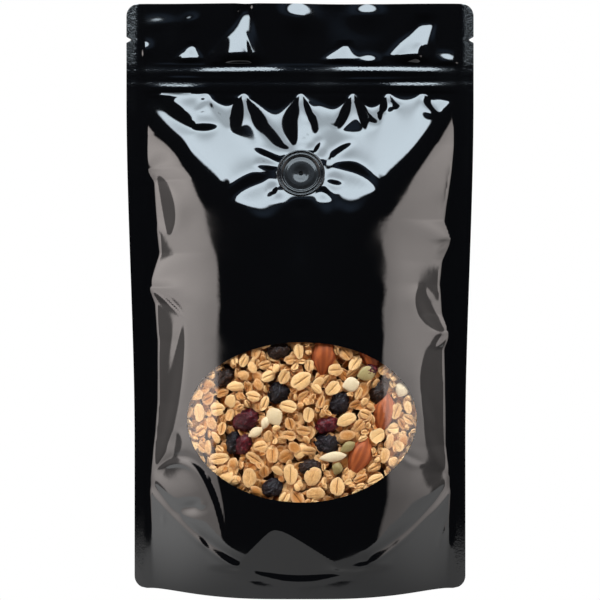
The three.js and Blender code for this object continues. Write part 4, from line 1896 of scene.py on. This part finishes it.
deep_oats = Food("deep_oat_flakes", oat_finish)
oats = Food("oat_flakes", oat_finish)
broken_oats = Food("broken_oat_flakes", oat_finish)
almonds = Food("almonds", almond_finish)
berries = Food("dark_berries", berry_finish)
cranberries = Food("dried_cranberries", cranberry_finish)
raisins = Food("raisins", raisin_finish)
green_seeds = Food("pumpkin_seeds", green_seed_finish)
pale_seeds = Food("pale_seeds", pale_seed_finish)

# %% [markdown]
# ### Laying the heap
#
# Deep flakes come first and fill the heap. Then the nuts, seeds and fruit are pressed
# close behind the film, each in its own place, and what they show is kept clear. Whole
# oat flakes in plain view follow in the same way. Last, loose, whole and broken flakes
# fall at random into the gaps that are left.

# %% The deep flakes
PLACE_MARGIN = 4.5  # mm that a flake's middle keeps from the heap's edge
UPSIDE_DOWN = 0.3  # the share of the flakes that show their other side
TONE_MIDDLE = 0.6
TONE_SPREAD = 0.26
# Flakes that lie deep in the heap are given a darker tone: painted shade.
DEPTH_SHADE_LOSS = 0.16  # for each mm that a flake lies deeper than this
DEPTH_SHADE_FROM = 1.6


def somewhere():
    """A random place in the heap's oval."""
    while True:
        x, z = chance.uniform(-1, 1), chance.uniform(-1, 1)
        if x * x + z * z < 1:
            return (WINDOW_AT[0] + x * (HEAP_HALF_WIDTH - PLACE_MARGIN),
                    WINDOW_AT[1] + z * (HEAP_HALF_HEIGHT - PLACE_MARGIN))


def drop_flake(food, shape, size, lean, least_depth, clear=None):
    """Drop a flake at random. True when it found a place. Clear is the share of it that
    the next ones leave in sight."""
    flake, marks = oat_flake(size, *shape)
    x, z = somewhere()
    leans = (chance.gauss(0, lean), chance.gauss(0, lean))
    if chance.random() < UPSIDE_DOWN:
        flake = flake * np.array([1, -1, -1])
    placed = rest(turned(flake, x, z, chance.uniform(0, 360), leans), least_depth)
    if placed is None:
        return False
    if clear:
        keep_clear(placed, clear)
    # A deep flake's tone is lowered, which is painted shade.
    depth = float((placed[:, 1] - film_near(x, z)).mean())
    tone = chance.gauss(TONE_MIDDLE, TONE_SPREAD) - DEPTH_SHADE_LOSS * max(depth - DEPTH_SHADE_FROM, 0)
    food.lay(placed, disc_faces(*shape), min(1.0, max(0.0, tone)), **marks)
    return True


def drop_flakes(food, shape, tries, **how):
    """Try that often to drop a flake. Returns how many found a place."""
    return sum(drop_flake(food, shape, **how) for _ in range(tries))


deep = drop_flakes(deep_oats, COARSE_FLAKE, tries=1300, size=0.9, lean=22, least_depth=3.0)
print("deep flakes:", deep)

# %% The pieces that stand out, where the photograph shows them
# Place in the window, turn in degrees, then size: length, width and thickness.
ALMONDS = [
    [(11, 114), 86, (21, 11.5, 8)], [(33.5, 115), 100, (19, 10.5, 7.5)],
    [(40, 86.5), 82, (20.5, 11.2, 8)], [(28, 66), 66, (21, 11.5, 8)],
]
BERRIES = [
    [(-10, 97), 20, (6.4, 5.6, 5)], [(18.5, 92), 60, (6.4, 5.6, 5)],
    [(-31.5, 73), 80, (6.6, 4.2, 4.2)], [(12.5, 73), 0, (6.6, 5.4, 4.8)],
    [(-13, 52), 20, (5.6, 5, 4.4)],
]
CRANBERRIES = [
    [(-25, 84), 20, (7.8, 6, 4.8)], [(13, 82), 15, (6.6, 4.4, 4)],
    [(-27, 72.5), 60, (5.8, 4.6, 4)], [(33, 107), 40, (5, 3.6, 3)],
]
RAISINS = [
    [(-10, 117), 10, (6.6, 4.4, 3.8)], [(4.5, 62.5), 10, (6.2, 4, 3.6)],
    [(38, 98), 60, (7, 4.6, 4)], [(-36, 104), 40, (6.4, 4.4, 3.8)],
]
GREEN_SEEDS = [
    [(31.5, 106), 14, (9.8, 7.4, 2.6)], [(22.5, 71.5), 30, (8.4, 4.8, 2.8)],
    [(17.5, 61.5), 70, (6.2, 5.4, 2.6)],
]
PALE_SEEDS = [
    [(15.5, 67), 6, (13.4, 5, 3)], [(-21, 78.5), 30, (8, 4.6, 2.6)],
    [(-16.5, 83), 70, (6.4, 4, 2.4)], [(24, 101), 10, (8.6, 7.2, 2.4)],
    [(-12, 86), 120, (9.2, 8.4, 2.2)], [(49, 98), 60, (8, 7.4, 3)],
]
# Whole oat flakes in plain view: place, turn and length.
SHOWN_FLAKES = [
    [(-0.5, 117), 95, 8.4], [(-26.5, 112.5), 60, 7.8], [(-30.5, 100), 5, 9.6],
    [(-22, 95.5), -10, 8.6], [(-5.5, 91), -15, 9.4], [(0.5, 103), 35, 8.6],
    [(16.5, 108), 5, 8.2], [(-7.5, 105), 60, 7.6], [(4, 87), 80, 8.0],
    [(22, 84.5), 20, 8.4], [(6, 58), 70, 9.8], [(17.5, 53), 85, 8.6],
    [(-4.5, 59), 90, 8.4], [(-38.5, 65.5), 10, 8.4], [(-24, 57), 80, 8.2],
    [(36.5, 76.5), 30, 8.6], [(-39.5, 89), 10, 7.8], [(-48.5, 87), 90, 8.6],
    [(36, 55.5), 20, 8.0], [(15.5, 99.5), 45, 7.8], [(46, 88), 70, 8.2],
]
FLAKE_LENGTH = 7.5  # as oat_flake makes it on average at size 1
PRESSED = 0.7  # mm behind the film's outer face
KEEP_CLEAR = 0.8  # the share of their size that no flake may cover


def small_lean(most):
    return chance.uniform(-most, most), chance.uniform(-most, most)


def lay_turned(food, list_of, point, grooves=None):
    for (x, z), turn, (length, width, thickness) in list_of:
        points, faces = turned_seed(teardrop(length, point), width, thickness)
        furrow = np.zeros(len(points))
        if grooves:
            points, furrow = grooved(points, grooves)
        placed = press(turned(points, x, z, turn, small_lean(6)), PRESSED, KEEP_CLEAR)
        food.lay(placed, faces, chance.uniform(0.3, 0.8), furrow=furrow)


def lay_shrunken(food, list_of, ridges, depth):
    for (x, z), turn, size in list_of:
        points, furrow = shrunken(size, ridges, depth)
        placed = press(turned(points, x, z, turn), PRESSED, KEEP_CLEAR)
        food.lay(placed, BALL_FACES, chance.uniform(0.3, 0.8), furrow=furrow)


def lay_flakes(food, list_of, shape):
    for (x, z), turn, length in list_of:
        flake, marks = oat_flake(length / FLAKE_LENGTH, *shape)
        placed = press(turned(flake, x, z, turn, small_lean(8)), PRESSED, KEEP_CLEAR)
        food.lay(placed, disc_faces(*shape), chance.uniform(0.6, 1.0), **marks)


lay_turned(almonds, ALMONDS, point=1.25, grooves=0.012)
lay_turned(green_seeds, GREEN_SEEDS, point=1.15)
lay_turned(pale_seeds, PALE_SEEDS, point=1.1)
lay_shrunken(berries, BERRIES, ridges=4.2, depth=0.2)
lay_shrunken(cranberries, CRANBERRIES, ridges=2.6, depth=0.2)
lay_shrunken(raisins, RAISINS, ridges=2.6, depth=0.24)

# %% Then oat flakes: the shown ones, loose ones, whole flat ones, and broken ones
lay_flakes(oats, SHOWN_FLAKES, FINE_FLAKE)
loose = drop_flakes(oats, FINE_FLAKE, tries=1100, size=0.95, lean=26, least_depth=1.4)
whole = drop_flakes(
    oats, FINE_FLAKE, tries=2500, size=1.0, lean=9, least_depth=BEHIND_FILM, clear=0.72)
broken = drop_flakes(
    broken_oats, COARSE_FLAKE, tries=2500, size=0.55, lean=20, least_depth=BEHIND_FILM)
print("flakes: loose", loose, "whole", whole, "broken", broken)

for kind in (deep_oats, oats, broken_oats, almonds, berries, cranberries, raisins,
             green_seeds, pale_seeds):
    kind.piece()

# %% [markdown]
# ### The heap's own core
#
# Between the pieces one looks into the dark of the heap. A lumpy plug closes it off, in
# the brown of oats that lie in shade.

# %% Core
CORE_RINGS = 34
CORE_SPOKES = 120
CORE_LUMPS = 0.7
CORE_BEHIND = 1.2  # mm behind the heap's first height
CORE_GAP = 0.4  # mm in front of the hollow's floor


def build_core():
    skin = Skin()
    x, z = oval_rings(HEAP_HALF_WIDTH, HEAP_HALF_HEIGHT, CORE_RINGS, CORE_SPOKES)
    lumps = CORE_LUMPS * np.sin(x / 1.9 + np.sin(z / 3.1)) * np.cos(z / 2.3 + np.sin(x / 2.7))
    lumpy_face = skin.add_grid(x, front(x, z) + CORE_DEPTH + CORE_BEHIND + lumps, z)
    back_face = skin.add_grid(x, front(x, z) + HOLLOW_DEPTH - CORE_GAP, z)
    loops = [closed_rings(lumpy_face), closed_rings(back_face)]
    add_plate(skin, loops)
    for loop, flip in ((loops[0][0], True), (loops[1][0], False)):
        cap = [int(p) for p in loop[:-1]]
        skin.faces.append(cap[::-1] if flip else cap)
    return skin


core_finish = food_finish(
    "shaded_oats", (0.1, 0.045, 0.014), (0.22, 0.1, 0.035), (0.05, 0.02, 0.008), 0.7)
core_piece = build_core().piece("heap_core", core_finish)
core_points = len(core_piece.data.vertices)
set_attribute(core_piece, "tone", [0.5] * core_points)
set_attribute(core_piece, "furrow", [0.0] * core_points)
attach(core_piece, "root")
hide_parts("muesli")
print("core faces", len(core_piece.data.polygons))
